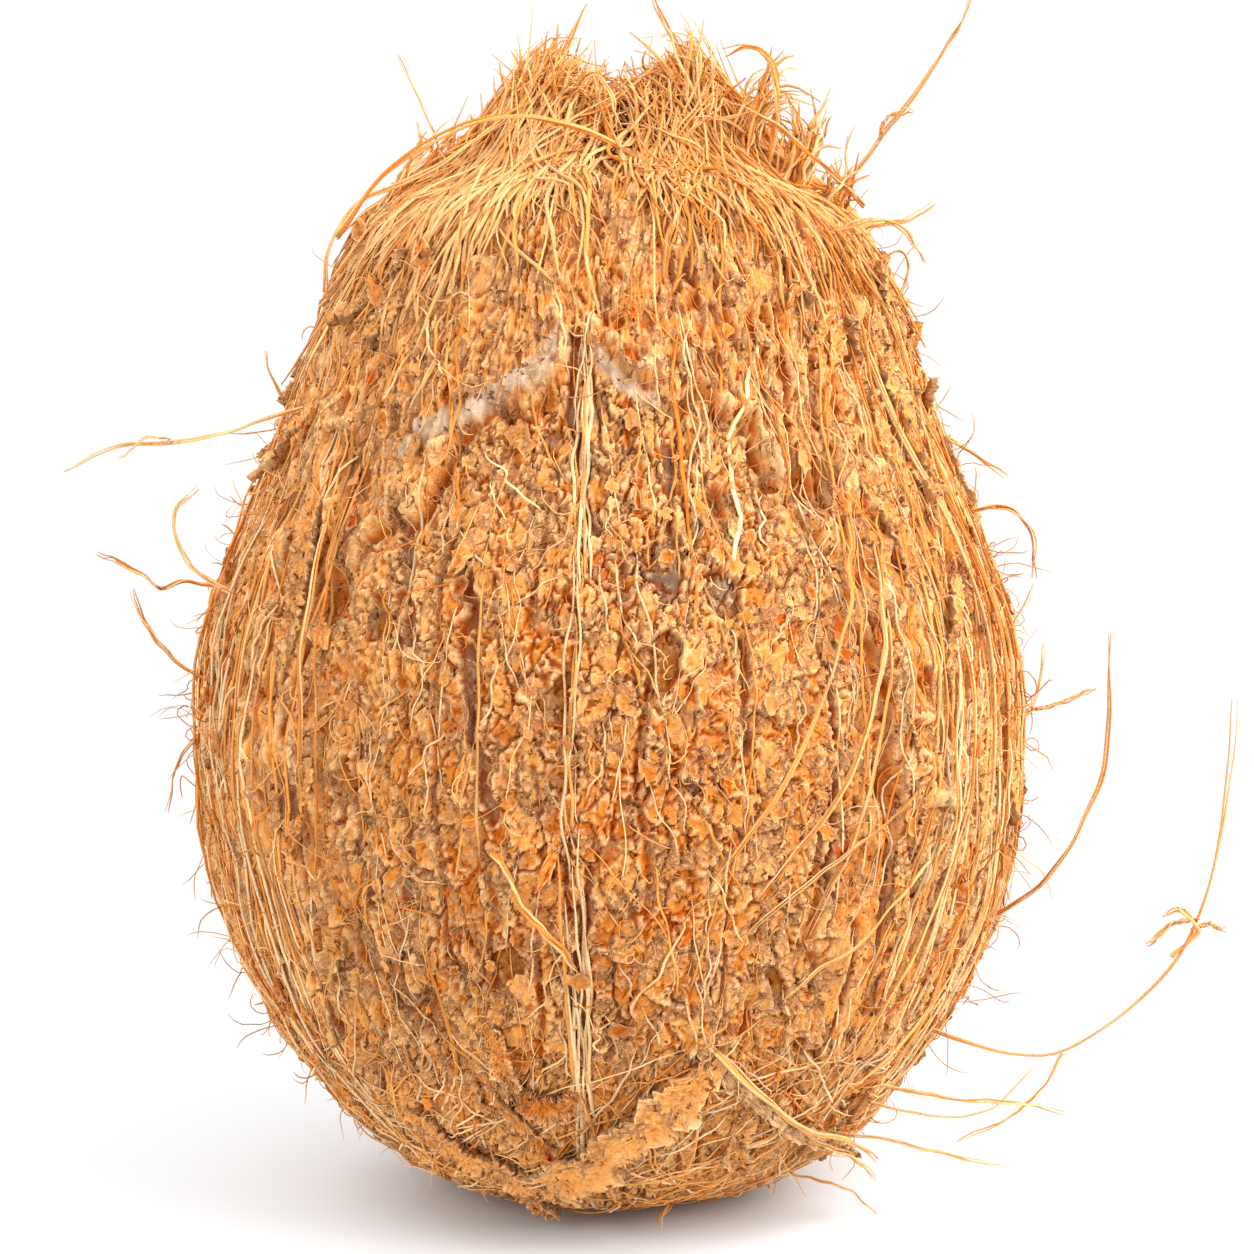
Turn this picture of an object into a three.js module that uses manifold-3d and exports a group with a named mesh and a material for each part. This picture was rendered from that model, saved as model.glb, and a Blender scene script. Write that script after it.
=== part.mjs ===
// A semi-husked coconut that stands on a small flat spot: the nut in its coat of leftover
// husk, a crown with two locks of coir, torn husk strips and stray fibres. It grew as one
// piece, so it is one solid. Millimetres, +Z up, the front is -Y, and the origin is the
// centre of the flat spot.
import * as THREE from "three";
import { mergeVertices } from "three/addons/utils/BufferGeometryUtils.js";
import Module from "manifold-3d";

const wasm = await Module();
wasm.setup();

// Driving dimensions
const NUT_RADIUS = 57;
const CROWN_HEIGHT = 143;
const FOOT_RADIUS = 15;
const COLUMNS = 74;
const RINGS = 34;
const SEED = 7;

// Side profile of the husk: shares of the nut radius and of the crown height
const PROFILE = [
  [FOOT_RADIUS / NUT_RADIUS, 0],
  [0.42, 0.019],
  [0.59, 0.063],
  [0.74, 0.131],
  [0.88, 0.219],
  [0.965, 0.321],
  [1, 0.437],
  [0.98, 0.549],
  [0.895, 0.651],
  [0.785, 0.744],
  [0.7, 0.838],
  [0.635, 0.895],
  [0.58, 0.935],
  [0.48, 0.968],
  [0.3, 0.993],
  [0.14, 1],
  [0, 1],
].map(([r, h]) => new THREE.Vector2(r * NUT_RADIUS, h * CROWN_HEIGHT));
const profile = new THREE.SplineCurve(PROFILE);

// Relief of the husk
const SEAM_RIDGES = 3;
const SEAM_HEIGHT = 0.7;
const RIBS = 28;
const RIB_HEIGHT = 0.9;
const FLAKE_HEIGHT = 1.2;
const FLAKE_RINGS = 2;

// Peeled panel on the front, lower than the husk around it, under an arch-shaped edge
const PANEL_DEPTH = 1.8;
const PANEL_LEFT = -43;
const PANEL_RIGHT = 36;
const PANEL_FOOT = 12;
const ARCH_TOP = 117;
const ARCH_DROP = 26;

// Two husk humps that carry the tuft
const LOCK_X = 11;
const LOCK_Y = -2;
const LOCK_HUMP = 5;
const LOCK_SPREAD = 9;
const LOCK_REACH = 17;

// Fibres are larger than life: the width of a three-sided section
const FIBRE = 1.3;
const STRAND = 1.6;
const ROOT = 4;
const STRIP_SINK = 2;
const UPRIGHT_FIBRES = 36;
const UPRIGHT_LENGTH = 14.5;
const FAN_DEPTH = 20;
const COMBED_FIBRES = 14;
const GOLDEN_ANGLE = Math.PI * (3 - Math.sqrt(5));
const NUT_CENTRE = 0.45 * CROWN_HEIGHT;

// Stray fibres of the front half: points from a root in the husk out to the tip
const STRAYS = [
  [[-36, -14, 111], [-48, -16, 107.5], [-57, -17, 105.3], [-65, -18, 104.5], [-72, -19, 101.3]],
  [[-50, -8, 84.5], [-57, -9, 85.6], [-61, -10, 85], [-64, -11, 87.5], [-68.7, -12, 90.3]],
  [[-53, -10, 72], [-58, -12, 75], [-62.5, -13, 80.7], [-64, -13, 85.1]],
  [[-49, -17, 84], [-56, -16, 89], [-58, -15, 95], [-55, -14, 99]],
  [[-20, -8, 136], [-24, -9, 148], [-26, -10, 152], [-28, -11, 156]],
  [[11, -4, 143], [10.4, -5, 153], [8, -6, 159], [5.1, -7, 165.6]],
  [[27, -6, 132], [32, -7, 139.5], [36, -8, 145], [40.7, -9, 151.1], [45, -10, 158], [48, -11, 164.2]],
  [[29, -2, 131], [37, -2, 134], [41, -1, 134.6], [44.2, 0, 136.6]],
  [[31, -6, 124], [38, -8, 130], [40, -9, 128], [38.5, -10, 124]],
  [[45, -8, 94], [53, -9, 96], [57, -9, 92], [57.5, -9, 86.3]],
  [[52, -6, 67], [60, -7, 68.5], [66.2, -8, 71]],
  [[48, -8, 38], [54.5, -10, 41], [59.3, -12, 45.5], [64.2, -13, 54], [67, -13, 64], [67.6, -12, 79]],
  [
    [42, -14, 26], [48.5, -18, 24], [54, -20, 22.8], [60.7, -21, 23.5], [69, -22, 29.7],
    [76, -22, 38], [80, -21, 47], [82.1, -20, 58], [83.1, -19, 71.3],
  ],
  [[31, -21, 20], [43, -26, 19], [52, -27, 18.5], [60, -27, 16.8]],
  [[25, -21, 13], [37, -28, 13.5], [45, -30, 12], [52.4, -30, 10.4]],
  [[32, -18, 17], [43, -21, 15], [51, -21, 16], [57, -19, 21]],
  [[19, -13, 6], [30, -19, 5], [36, -22, 1.8]],
  [[6, -13, 4.5], [8, -22, 3.2], [6.2, -27, 1.4]],
];

// Stray fibres of the back half: azimuth, height, climb, twist and reach
const BACK_STRAYS = [
  [104, 60, 12, 8, 12],
  [118, 104, -10, -9, 10],
  [131, 36, 10, 12, 14],
  [150, 84, 16, -6, 11],
  [163, 52, -9, 10, 9],
  [185, 112, 8, 12, 12],
  [204, 70, -14, -10, 13],
  [221, 40, 9, -8, 10],
  [238, 98, 14, 9, 12],
  [254, 64, -12, 6, 9],
];

// Strands that lie proud of the husk: azimuth, height and lift at each stop
const STRANDS = [
  [[52, 131, -1], [58, 112, 0.6], [63, 92, 0.6], [64, 70, 0.6], [60, 48, 0.6], [54, 32, -1]],
  [[40, 100, -1], [33, 84, 1.6], [24, 68, 1.4], [13, 52, -1]],
  [[44, 96, -1], [39, 78, 1], [34, 60, 0.8], [28, 44, -1]],
  [[-50, 108, -1], [-46, 92, 0.6], [-44, 74, 0.6], [-45, 56, -1]],
  [[-13, 49, -1], [-7, 40, 1.4], [-3, 30, -1]],
];

// Torn strips at the lower front and on the shoulders: width, thickness, and the stops along each
const STRIPS = [
  [8, 1.6, [[-21, 7.5, -0.4], [-10, 11, 1.2], [2, 18, 1.6], [12, 24, 1.2], [18, 30, -0.6]]],
  [5.5, 1.4, [[-40, 18, -0.6], [-30, 13.5, 0.8], [-20, 10, 0.6], [-12, 6.5, 0.8]]],
  [3.4, 1.2, [[12, 31, -0.6], [22, 24, 0.8], [36, 17, 1.4], [52, 13, 2.2], [62, 11, 4]]],
  [3, 1.2, [[-18, 35, -0.6], [-16, 29, 1], [-15, 22, 0.4]]],
  [4.6, 1.4, [[-53, 100, -0.6], [-49, 93, 0.8], [-48, 84, 0.4], [-49, 76, -0.6]]],
  [4.2, 1.4, [[41, 108, -0.6], [46, 99, 0.8], [48, 90, 0.6], [47, 80, -0.6]]],
];

// Seeded random numbers from 0 to 1
let state = SEED;
function random() {
  state = (state + 0x6d2b79f5) | 0;
  let t = Math.imul(state ^ (state >>> 15), 1 | state);
  t = (t + Math.imul(t ^ (t >>> 7), 61 | t)) ^ t;
  return ((t ^ (t >>> 14)) >>> 0) / 4294967296;
}
const between = (low, high) => low + (high - low) * random();
const smooth = (low, high, x) => THREE.MathUtils.smoothstep(x, low, high);

// Share of the panel at an azimuth, in degrees from the front, and a height
function panelShare(azimuth, height) {
  const side = azimuth < 0 ? PANEL_LEFT : PANEL_RIGHT;
  const across = 1 - smooth(0.85, 1.1, azimuth / side);
  const arch = ARCH_TOP - ARCH_DROP * (azimuth / side) ** 2;
  const below = 1 - smooth(arch - 3, arch + 1, height);
  return across * below * smooth(PANEL_FOOT, PANEL_FOOT + 12, height);
}

// Radius of the husk without its fine relief
function huskRadius(azimuth, radius, height) {
  const seam = SEAM_HEIGHT * Math.cos(THREE.MathUtils.degToRad(SEAM_RIDGES * azimuth));
  return radius + smooth(4, 30, height) * (seam - PANEL_DEPTH * panelShare(azimuth, height));
}

// Rise of the two humps over the crown
function hump(x, y) {
  const rise = (side) => {
    const away = (x - side * LOCK_X) ** 2 + (y - LOCK_Y) ** 2;
    return Math.exp(-away / LOCK_SPREAD ** 2);
  };
  return LOCK_HUMP * (rise(-1) + rise(1));
}

// Point over the husk at an azimuth in degrees from the front, a height and a lift
function overHusk(azimuth, height, lift) {
  let low = 0;
  let high = 1;
  for (let i = 0; i < 24; i += 1) {
    const middle = (low + high) / 2;
    if (profile.getPoint(middle).y < height) low = middle;
    else high = middle;
  }
  const radius = huskRadius(azimuth, profile.getPoint(low).x, height) + lift;
  const turn = THREE.MathUtils.degToRad(azimuth);
  return new THREE.Vector3(radius * Math.sin(turn), -radius * Math.cos(turn), height);
}

// Nut body: a lathe whose points move out by the relief formula
function nutBody() {
  const side = profile.getSpacedPoints(RINGS);
  side[RINGS].x = 0;
  const lathe = new THREE.LatheGeometry([new THREE.Vector2(0, 0), ...side], COLUMNS);
  lathe.rotateX(Math.PI / 2);
  lathe.deleteAttribute("normal");
  lathe.deleteAttribute("uv");
  const body = mergeVertices(lathe, 1e-3);
  const flakes = new Map();
  const place = body.attributes.position;
  for (let i = 0; i < place.count; i += 1) {
    const x = place.getX(i);
    const y = place.getY(i);
    const z = place.getZ(i);
    const radius = Math.hypot(x, y);
    if (radius < 0.01) {
      if (z > 1) place.setZ(i, z + hump(0, 0));
      continue;
    }
    const turn = Math.atan2(x, -y);
    const azimuth = THREE.MathUtils.radToDeg(turn);
    const column = Math.round((turn / Math.PI) * (COLUMNS / 2));
    const ring = Math.floor((z / CROWN_HEIGHT) * (RINGS / FLAKE_RINGS) + 0.5 * (column & 1));
    const key = `${column} ${ring}`;
    if (!flakes.has(key)) flakes.set(key, between(-1, 1));
    const rib = RIB_HEIGHT * Math.sin(RIBS * turn + 3 * Math.sin(z / 17 + turn));
    const fine = smooth(2, 14, z) * (rib + FLAKE_HEIGHT * flakes.get(key));
    const reach = (huskRadius(azimuth, radius, z) + fine * smooth(0, 20, radius)) / radius;
    place.setXYZ(i, x * reach, y * reach, z > 1 ? z + hump(x, y) : z);
  }
  return solid(body);
}

// Closed solid from a geometry, turned outward
function solid(geometry) {
  const points = geometry.attributes.position;
  const faces = Uint32Array.from(geometry.index.array);
  const part = new wasm.Manifold(
    new wasm.Mesh({ numProp: 3, vertProperties: Float32Array.from(points.array), triVerts: faces }),
  );
  if (part.volume() > 0) return part;
  for (let i = 0; i < faces.length; i += 3) faces.subarray(i, i + 2).reverse();
  return new wasm.Manifold(
    new wasm.Mesh({ numProp: 3, vertProperties: Float32Array.from(points.array), triVerts: faces }),
  );
}

// Section swept along a smooth route
function sweep(points, section, steps) {
  const route = new THREE.CatmullRomCurve3(points);
  const swept = new THREE.ExtrudeGeometry(new THREE.Shape(section), {
    steps,
    bevelEnabled: false,
    extrudePath: route,
  });
  swept.deleteAttribute("normal");
  swept.deleteAttribute("uv");
  return solid(mergeVertices(swept, 1e-3));
}

// Fibre with a three-sided section
function fibre(points, width, steps) {
  const corner = (turn) => new THREE.Vector2(Math.cos(turn), Math.sin(turn)).multiplyScalar(width / 2);
  return sweep(points, [corner(0), corner((2 * Math.PI) / 3), corner((4 * Math.PI) / 3)], steps);
}

// Torn husk strip: a flat section swept over the husk, wide side outward
function strip(stops, width, thickness, steps) {
  const route = new THREE.CatmullRomCurve3(stops.map((stop) => overHusk(...stop)));
  const points = [];
  const faces = [];
  for (let i = 0; i <= steps; i += 1) {
    const along = route.getTangent(i / steps);
    const at = route.getPoint(i / steps);
    const out = new THREE.Vector3(at.x, at.y, (at.z - NUT_CENTRE) / 2).normalize();
    const across = new THREE.Vector3().crossVectors(along, out).normalize();
    const half = (width / 2) * (1 - 0.75 * (i / steps) ** 3);
    const top = thickness / 2;
    const foot = -top - STRIP_SINK;
    for (const [u, lift] of [[-1, foot], [1, foot], [1, top], [-1, top]]) {
      const corner = at.clone().addScaledVector(across, u * half).addScaledVector(out, lift);
      points.push(corner.x, corner.y, corner.z);
    }
  }
  const quad = (a, b, c, d) => faces.push(a, b, c, a, c, d);
  for (let i = 0; i < steps; i += 1) {
    for (let k = 0; k < 4; k += 1) {
      const next = (k + 1) % 4;
      quad(4 * i + k, 4 * i + next, 4 * i + 4 + next, 4 * i + 4 + k);
    }
  }
  quad(3, 2, 1, 0);
  quad(4 * steps, 4 * steps + 1, 4 * steps + 2, 4 * steps + 3);
  const shape = new THREE.BufferGeometry();
  shape.setAttribute("position", new THREE.Float32BufferAttribute(points, 3));
  shape.setIndex(faces);
  return solid(shape);
}

// Height of the crown over a point near the axis
function crownHeight(x, y) {
  const radius = Math.hypot(x, y);
  let low = 0.5;
  let high = 1;
  for (let i = 0; i < 24; i += 1) {
    const middle = (low + high) / 2;
    if (profile.getPoint(middle).x > radius) low = middle;
    else high = middle;
  }
  return profile.getPoint(low).y + hump(x, y);
}

// Tuft of one side: fibres that fan up out of the hump, and fibres combed down over the shoulder
function tuft(side) {
  const fibres = [];
  const focus = new THREE.Vector3(0.7 * side * LOCK_X, LOCK_Y, CROWN_HEIGHT - FAN_DEPTH);
  for (let i = 0; i < UPRIGHT_FIBRES; i += 1) {
    const turn = i * GOLDEN_ANGLE;
    const away = LOCK_REACH * Math.sqrt((i + 0.5) / UPRIGHT_FIBRES);
    const x = side * LOCK_X + away * Math.cos(turn);
    const y = LOCK_Y + away * Math.sin(turn);
    if (side * x < 1) continue;
    const surface = new THREE.Vector3(x, y, crownHeight(x, y));
    const out = surface.clone().sub(focus).normalize();
    const curl = new THREE.Vector3(between(-1, 1), between(-1, 1), 0.8);
    const length = between(UPRIGHT_LENGTH - 3, UPRIGHT_LENGTH + 2) - 0.5 * away;
    const root = surface.clone().addScaledVector(out, -ROOT);
    const middle = surface.clone().addScaledVector(out, 0.6 * length);
    const tip = surface.clone().addScaledVector(out, length).addScaledVector(curl, 1.6);
    fibres.push(fibre([root, middle, tip], FIBRE, 3));
  }
  for (let i = 0; i < COMBED_FIBRES; i += 1) {
    const azimuth = side * (6 + (168 * (i + between(0.2, 0.8))) / COMBED_FIBRES);
    const turn = THREE.MathUtils.degToRad(azimuth);
    const overCrown = (radius, lift) => {
      const x = radius * Math.sin(turn);
      const y = -radius * Math.cos(turn);
      return new THREE.Vector3(x, y, crownHeight(x, y) + lift);
    };
    const stops = [
      overCrown(between(19, 22), -ROOT),
      overCrown(27, between(2, 4)),
      overHusk(azimuth, 134, between(2, 4)),
      overHusk(azimuth + between(-3, 3), between(114, 126), between(2, 4)),
    ];
    fibres.push(fibre(stops, FIBRE, 5));
  }
  return fibres;
}

// Stray of the back half: it leaves the husk and bows outward
function backStray([azimuth, height, climb, twist, reach]) {
  const stops = [
    [azimuth, height, -ROOT],
    [azimuth + 0.3 * twist, height + 0.2 * climb, 0.4 * reach],
    [azimuth + 0.7 * twist, height + 0.6 * climb, 0.8 * reach],
    [azimuth + twist, height + climb, reach],
  ];
  return fibre(stops.map((stop) => overHusk(...stop)), FIBRE, 5);
}

// Everything grown together
const grown = [
  ...tuft(-1),
  ...tuft(1),
  ...STRAYS.map((route) => fibre(route.map((at) => new THREE.Vector3(...at)), FIBRE, 2 * route.length - 2)),
  ...BACK_STRAYS.map(backStray),
  ...STRANDS.map((stops) => fibre(stops.map((stop) => overHusk(...stop)), STRAND, 3 * stops.length)),
  ...STRIPS.map(([width, thickness, stops]) => strip(stops, width, thickness, 5)),
];
const whole = grown.reduce((sum, part) => sum.add(part), nutBody());
const mesh = whole.getMesh();
const geometry = new THREE.BufferGeometry();
geometry.setAttribute("position", new THREE.BufferAttribute(mesh.vertProperties, 3));
geometry.setIndex(new THREE.BufferAttribute(mesh.triVerts, 1));
geometry.computeVertexNormals();

const husk = new THREE.MeshStandardMaterial({ color: 0xd2955a, roughness: 0.9, metalness: 0 });
const coconut = new THREE.Mesh(geometry, husk);
coconut.name = "coconut";
const group = new THREE.Group();
group.add(coconut);
export default group;
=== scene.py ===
"""Semi-husked coconut: husk coat of flakes and strands, coir tuft, torn strips and strays, on white."""
import math

import bpy
import numpy as np
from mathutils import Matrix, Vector


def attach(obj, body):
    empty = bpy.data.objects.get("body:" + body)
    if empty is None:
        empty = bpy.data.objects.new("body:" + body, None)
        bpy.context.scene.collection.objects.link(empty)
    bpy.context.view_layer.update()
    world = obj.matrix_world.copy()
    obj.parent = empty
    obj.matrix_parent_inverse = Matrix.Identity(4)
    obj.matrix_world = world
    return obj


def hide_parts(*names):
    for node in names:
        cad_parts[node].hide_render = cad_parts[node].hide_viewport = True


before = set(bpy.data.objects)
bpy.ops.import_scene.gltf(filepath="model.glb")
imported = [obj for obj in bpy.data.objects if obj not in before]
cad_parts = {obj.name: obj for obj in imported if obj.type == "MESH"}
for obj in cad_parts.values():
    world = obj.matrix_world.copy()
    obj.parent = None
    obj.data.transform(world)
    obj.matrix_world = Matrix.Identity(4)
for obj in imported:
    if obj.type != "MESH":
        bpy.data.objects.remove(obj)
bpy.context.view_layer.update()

# Lengths are in millimetres until a mesh is made. Azimuth is in degrees from the front (-Y),
# positive to the right (+X). A lift is a height over the husk surface.
MM = 0.001

# Form of the nut, as in the solid
NUT_RADIUS = 57.0
CROWN_HEIGHT = 143.0
FOOT_RADIUS = 15.0
PROFILE = np.array([
    (FOOT_RADIUS / NUT_RADIUS, 0), (0.42, 0.019), (0.59, 0.063), (0.74, 0.131), (0.88, 0.219),
    (0.965, 0.321), (1, 0.437), (0.98, 0.549), (0.895, 0.651), (0.785, 0.744), (0.7, 0.838),
    (0.635, 0.895), (0.58, 0.935), (0.48, 0.968), (0.3, 0.993), (0.14, 1), (0, 1),
]) * (NUT_RADIUS, CROWN_HEIGHT)
COAT = 1.0
SEAM_HEIGHT = 0.7
PANEL_DEPTH = 1.8
PANEL_LEFT = -43.0
PANEL_RIGHT = 36.0
PANEL_FOOT = 12.0
ARCH_TOP = 117.0
ARCH_DROP = 26.0
LOCK_X = 11.0
LOCK_Y = -2.0
LOCK_HUMP = 5.0
LOCK_SPREAD = 9.0
NUT_MIDDLE = np.array((0, 0, 62.0))
HUMPS_FROM = 60.0
RELIEF_FROM = (4, 30)
FLOOR_GAP = 0.05


def srgb(red, green, blue):
    """Linear colour of an 8-bit screen colour."""
    share = np.array([red, green, blue]) / 255.0
    return np.where(share <= 0.04045, share / 12.92, ((share + 0.055) / 1.055) ** 2.4)


STRAW = srgb(242, 203, 151)
PEACH = srgb(240, 188, 126)
GOLD = srgb(230, 161, 87)
TAN = srgb(216, 133, 54)
RUST = srgb(194, 96, 20)
BROWN = srgb(168, 70, 2)
SHELL = srgb(132, 107, 86)
BARE = srgb(216, 192, 168)


# Curves and noise

CURVE_POINTS = 24


def smooth(low, high, value):
    share = np.clip((value - low) / (high - low), 0, 1)
    return share * share * (3 - 2 * share)


def unit(vectors):
    """Vectors scaled to length 1."""
    return vectors / (np.linalg.norm(vectors, axis=-1, keepdims=True) + 1e-9)


def path_frame(paths, squash=1.0):
    """Unit vectors across each path and up from it, away from the middle of the nut."""
    along = unit(np.gradient(paths, axis=1))
    across = unit(np.cross(along, (paths - NUT_MIDDLE) * (1, 1, squash)))
    return across, np.cross(across, along)


def bump(value, middle, width):
    """Round bump of height 1."""
    return np.exp(-((value - middle) / width) ** 2)


def spline(points, count):
    """Catmull-Rom curve through points, as count points spaced evenly by length."""
    points = np.asarray(points, float)
    padded = np.vstack([2 * points[0] - points[1], points, 2 * points[-1] - points[-2]])
    parts = []
    for a, b, c, d in zip(padded[:-3], padded[1:-2], padded[2:-1], padded[3:]):
        t = np.linspace(0, 1, CURVE_POINTS, endpoint=False)[:, None]
        parts.append(0.5 * (2 * b + (c - a) * t + (2 * a - 5 * b + 4 * c - d) * t ** 2
                            + (3 * b - a - 3 * c + d) * t ** 3))
    dense = np.vstack(parts + [points[-1:]])
    length = np.concatenate([[0], np.cumsum(np.linalg.norm(np.diff(dense, axis=0), axis=1))])
    wanted = np.linspace(0, length[-1], count)
    return np.stack([np.interp(wanted, length, dense[:, k]) for k in range(dense.shape[1])], axis=1)


def lattice(azimuth, along, columns, rows, seed):
    """Smooth random field from -1 to 1, periodic round the nut, along as a share from 0 to 1."""
    grid = np.random.default_rng(seed).uniform(-1, 1, (columns, rows + 2))
    u = (np.asarray(azimuth) / 360.0) % 1.0 * columns
    v = np.clip(along, 0, 1) * rows
    i, j = np.floor(u).astype(int), np.floor(v).astype(int)
    fu, fv = u - i, v - j
    fu, fv = fu * fu * (3 - 2 * fu), fv * fv * (3 - 2 * fv)
    i0, i1 = i % columns, (i + 1) % columns
    low = grid[i0, j] * (1 - fu) + grid[i1, j] * fu
    high = grid[i0, j + 1] * (1 - fu) + grid[i1, j + 1] * fu
    return low * (1 - fv) + high * fv


def waves(count, steps, turns, seed):
    """Random smooth wiggles, one row for each fibre, about -1 to 1."""
    draw = np.random.default_rng(seed)
    t = np.linspace(0, 1, steps)
    total = np.zeros((count, steps))
    for k in range(1, 5):
        phase = draw.uniform(0, 2 * np.pi, (count, 1))
        rate = draw.uniform(0.6, 1.4, (count, 1)) * turns * k / 2
        total += np.sin(2 * np.pi * rate * t + phase) / k * draw.uniform(0.4, 1, (count, 1))
    return total / 1.6


# Husk surface

side = spline(PROFILE, 600)
SIDE_LENGTH = np.concatenate([[0], np.cumsum(np.linalg.norm(np.diff(side, axis=0), axis=1))])
SIDE = SIDE_LENGTH[-1]
slope = unit(np.gradient(side, SIDE_LENGTH, axis=0))


def at_height(height):
    """Place along the side profile at a height."""
    return np.interp(height, side[:, 1], SIDE_LENGTH)


def height_at(along):
    return np.interp(along, SIDE_LENGTH, side[:, 1])


def radius_at(along):
    return np.interp(along, SIDE_LENGTH, side[:, 0])


def turn_from(azimuth, other):
    """Turn from another azimuth, from -180 to 180 degrees."""
    return (azimuth - other + 180) % 360 - 180


def arch_place(azimuth, height):
    """Place across the front panel, 1 at its sides, and height of the arch over it, both uneven."""
    ragged = azimuth + 4 * lattice(azimuth, height / 160, 60, 26, 5)
    across = ragged / np.where(ragged < 0, PANEL_LEFT, PANEL_RIGHT)
    return across, ARCH_TOP - ARCH_DROP * across ** 2 + 3 * lattice(azimuth, height / 160, 70, 8, 6)


def panel(azimuth, height):
    """Share of the peeled front panel."""
    across, arch = arch_place(azimuth, height)
    below = 1 - smooth(arch - 2, arch + 2, height)
    return (1 - smooth(0.85, 1.1, across)) * below * smooth(PANEL_FOOT, PANEL_FOOT + 12, height)


ROUTE_POINTS = 60
BACK_STREAKS = 16
BACK_HOLLOWS = 14

# Bare shell that shows between the flakes: half width, then places as x and height on the front
STREAKS = [
    (0.65, [(-27, 101), (-26.5, 92), (-26, 83)]),
    (0.75, [(-17.5, 91), (-18, 76), (-15, 61)]),
    (0.65, [(18, 83), (17.5, 70)]),
    (0.6, [(-5, 120), (-4, 108), (-2.5, 97)]),
    (0.65, [(-2.5, 55), (-4.5, 41), (-3, 28)]),
    (0.5, [(7.5, 107), (8.5, 94)]),
    (0.5, [(29, 80), (30, 66), (28, 52)]),
    (0.5, [(-33, 70), (-33, 58), (-31, 48)]),
]
# Whitish bare patch along the arch, forked like a branch, with the same columns
PATCHES = [
    (1.1, [(-6, 120), (-8.5, 116.5), (-13, 113.5), (-19, 110.5), (-24, 107.5), (-29, 105.5)]),
    (0.8, [(-19, 110.5), (-22, 109.5), (-25, 109)]),
    (0.8, [(-1.5, 118), (2, 114.5), (6, 112.5)]),
]


def front_route(places, count):
    """Azimuth and place along the side of points given as x and height on the front."""
    route = spline(places, count)
    along = at_height(route[:, 1])
    return np.degrees(np.arcsin(np.clip(route[:, 0] / radius_at(along), -1, 1))), along


def back_streaks():
    """Streaks by rule for the sides that the front list leaves out."""
    draw = np.random.default_rng(31)
    routes = []
    for k in range(BACK_STREAKS):
        azimuth = 52 + (256 * (k + draw.uniform(0.2, 0.8))) / BACK_STREAKS
        top = draw.uniform(60, 112)
        foot = max(24, top - draw.uniform(14, 34))
        height = np.linspace(top, foot, ROUTE_POINTS)
        routes.append((draw.uniform(0.4, 0.8), azimuth + 1.5 * np.sin(height / 9), at_height(height)))
    return routes


streaks = [(w, *front_route(p, ROUTE_POINTS)) for w, p in STREAKS] + back_streaks()
patches = [(w, *front_route(p, ROUTE_POINTS)) for w, p in PATCHES]


def near(azimuth, along, routes):
    """Share of closeness to any of the routes, from 0 to 1."""
    azimuth, along = np.broadcast_arrays(np.asarray(azimuth, float), np.asarray(along, float))
    best = np.zeros(azimuth.shape)
    reach = radius_at(along)
    for width, line_azimuth, line_along in routes:
        turn = turn_from(azimuth, line_azimuth.mean())
        close = (np.abs(turn) < 14) & (along > line_along.min() - 6) & (along < line_along.max() + 6)
        if not close.any():
            continue
        away = np.full(azimuth.shape, 9.0)
        for a, s in zip(line_azimuth, line_along):
            gap_a = np.radians(turn_from(azimuth[close], a)) * reach[close]
            away[close] = np.minimum(away[close], np.hypot(gap_a, 0.8 * (along[close] - s)))
        best = np.maximum(best, 1 - smooth(0.7 * width, 1.5 * width, away))
    return best


# Hollows where the husk has come off in a lump, darkened with painted shade by depth: x and height on the
# front, half sizes, depth
HOLLOWS = [
    (-42.5, 98, 3.0, 2.6, 4.0), (-50, 51, 1.6, 6.0, 3.6), (26, 102, 2.4, 3.0, 3.4),
    (47, 88, 1.6, 4.5, 3.0), (-36, 88, 1.8, 4.0, 2.6), (36, 64, 1.6, 4.0, 2.4),
    (-24, 34, 1.8, 3.4, 2.6), (14, 101, 1.6, 2.2, 2.4),
]


def hollow_depth(azimuth, along):
    depth = np.zeros(np.broadcast(azimuth, along).shape)
    draw = np.random.default_rng(37)
    spots = [(*[float(v[0]) for v in front_route([(x, z), (x, z + 0.1)], 2)], w, h, d)
             for x, z, w, h, d in HOLLOWS]
    for k in range(BACK_HOLLOWS):
        spots.append((60 + 240 * (k + draw.random()) / BACK_HOLLOWS, at_height(draw.uniform(25, 112)),
                      draw.uniform(1.2, 2.4), draw.uniform(2.5, 6), draw.uniform(2, 3.6)))
    for a, s, wide, tall, deep in spots:
        turn = np.radians(turn_from(azimuth, a)) * radius_at(s)
        depth += deep * bump(turn, 0, wide) * bump(along, s, tall)
    return depth


def hump(x, y):
    total = 0
    for way in (-1, 1):
        total = total + bump(x, way * LOCK_X, LOCK_SPREAD) * bump(y, LOCK_Y, LOCK_SPREAD)
    return LOCK_HUMP * total


def over_husk(azimuth, along, lift):
    """Points over the husk at a lift along its normal."""
    azimuth, along, lift = np.broadcast_arrays(azimuth, along, lift)
    height = height_at(along)
    raised = SEAM_HEIGHT * np.cos(np.radians(3 * azimuth)) - PANEL_DEPTH * panel(azimuth, height)
    raised = smooth(*RELIEF_FROM, height) * (raised + 0.8 * lattice(azimuth, along / SIDE, 22, 9, 1)) - COAT
    out = raised + lift
    r = np.maximum(radius_at(along) + out * np.interp(along, SIDE_LENGTH, slope[:, 1]), 0)
    z = height - out * np.interp(along, SIDE_LENGTH, slope[:, 0])
    x, y = r * np.sin(np.radians(azimuth)), -r * np.cos(np.radians(azimuth))
    z = z + np.where(height > HUMPS_FROM, hump(x, y), 0)
    return np.stack([x, y, np.maximum(z, FLOOR_GAP)], axis=-1)


# Meshes

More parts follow.
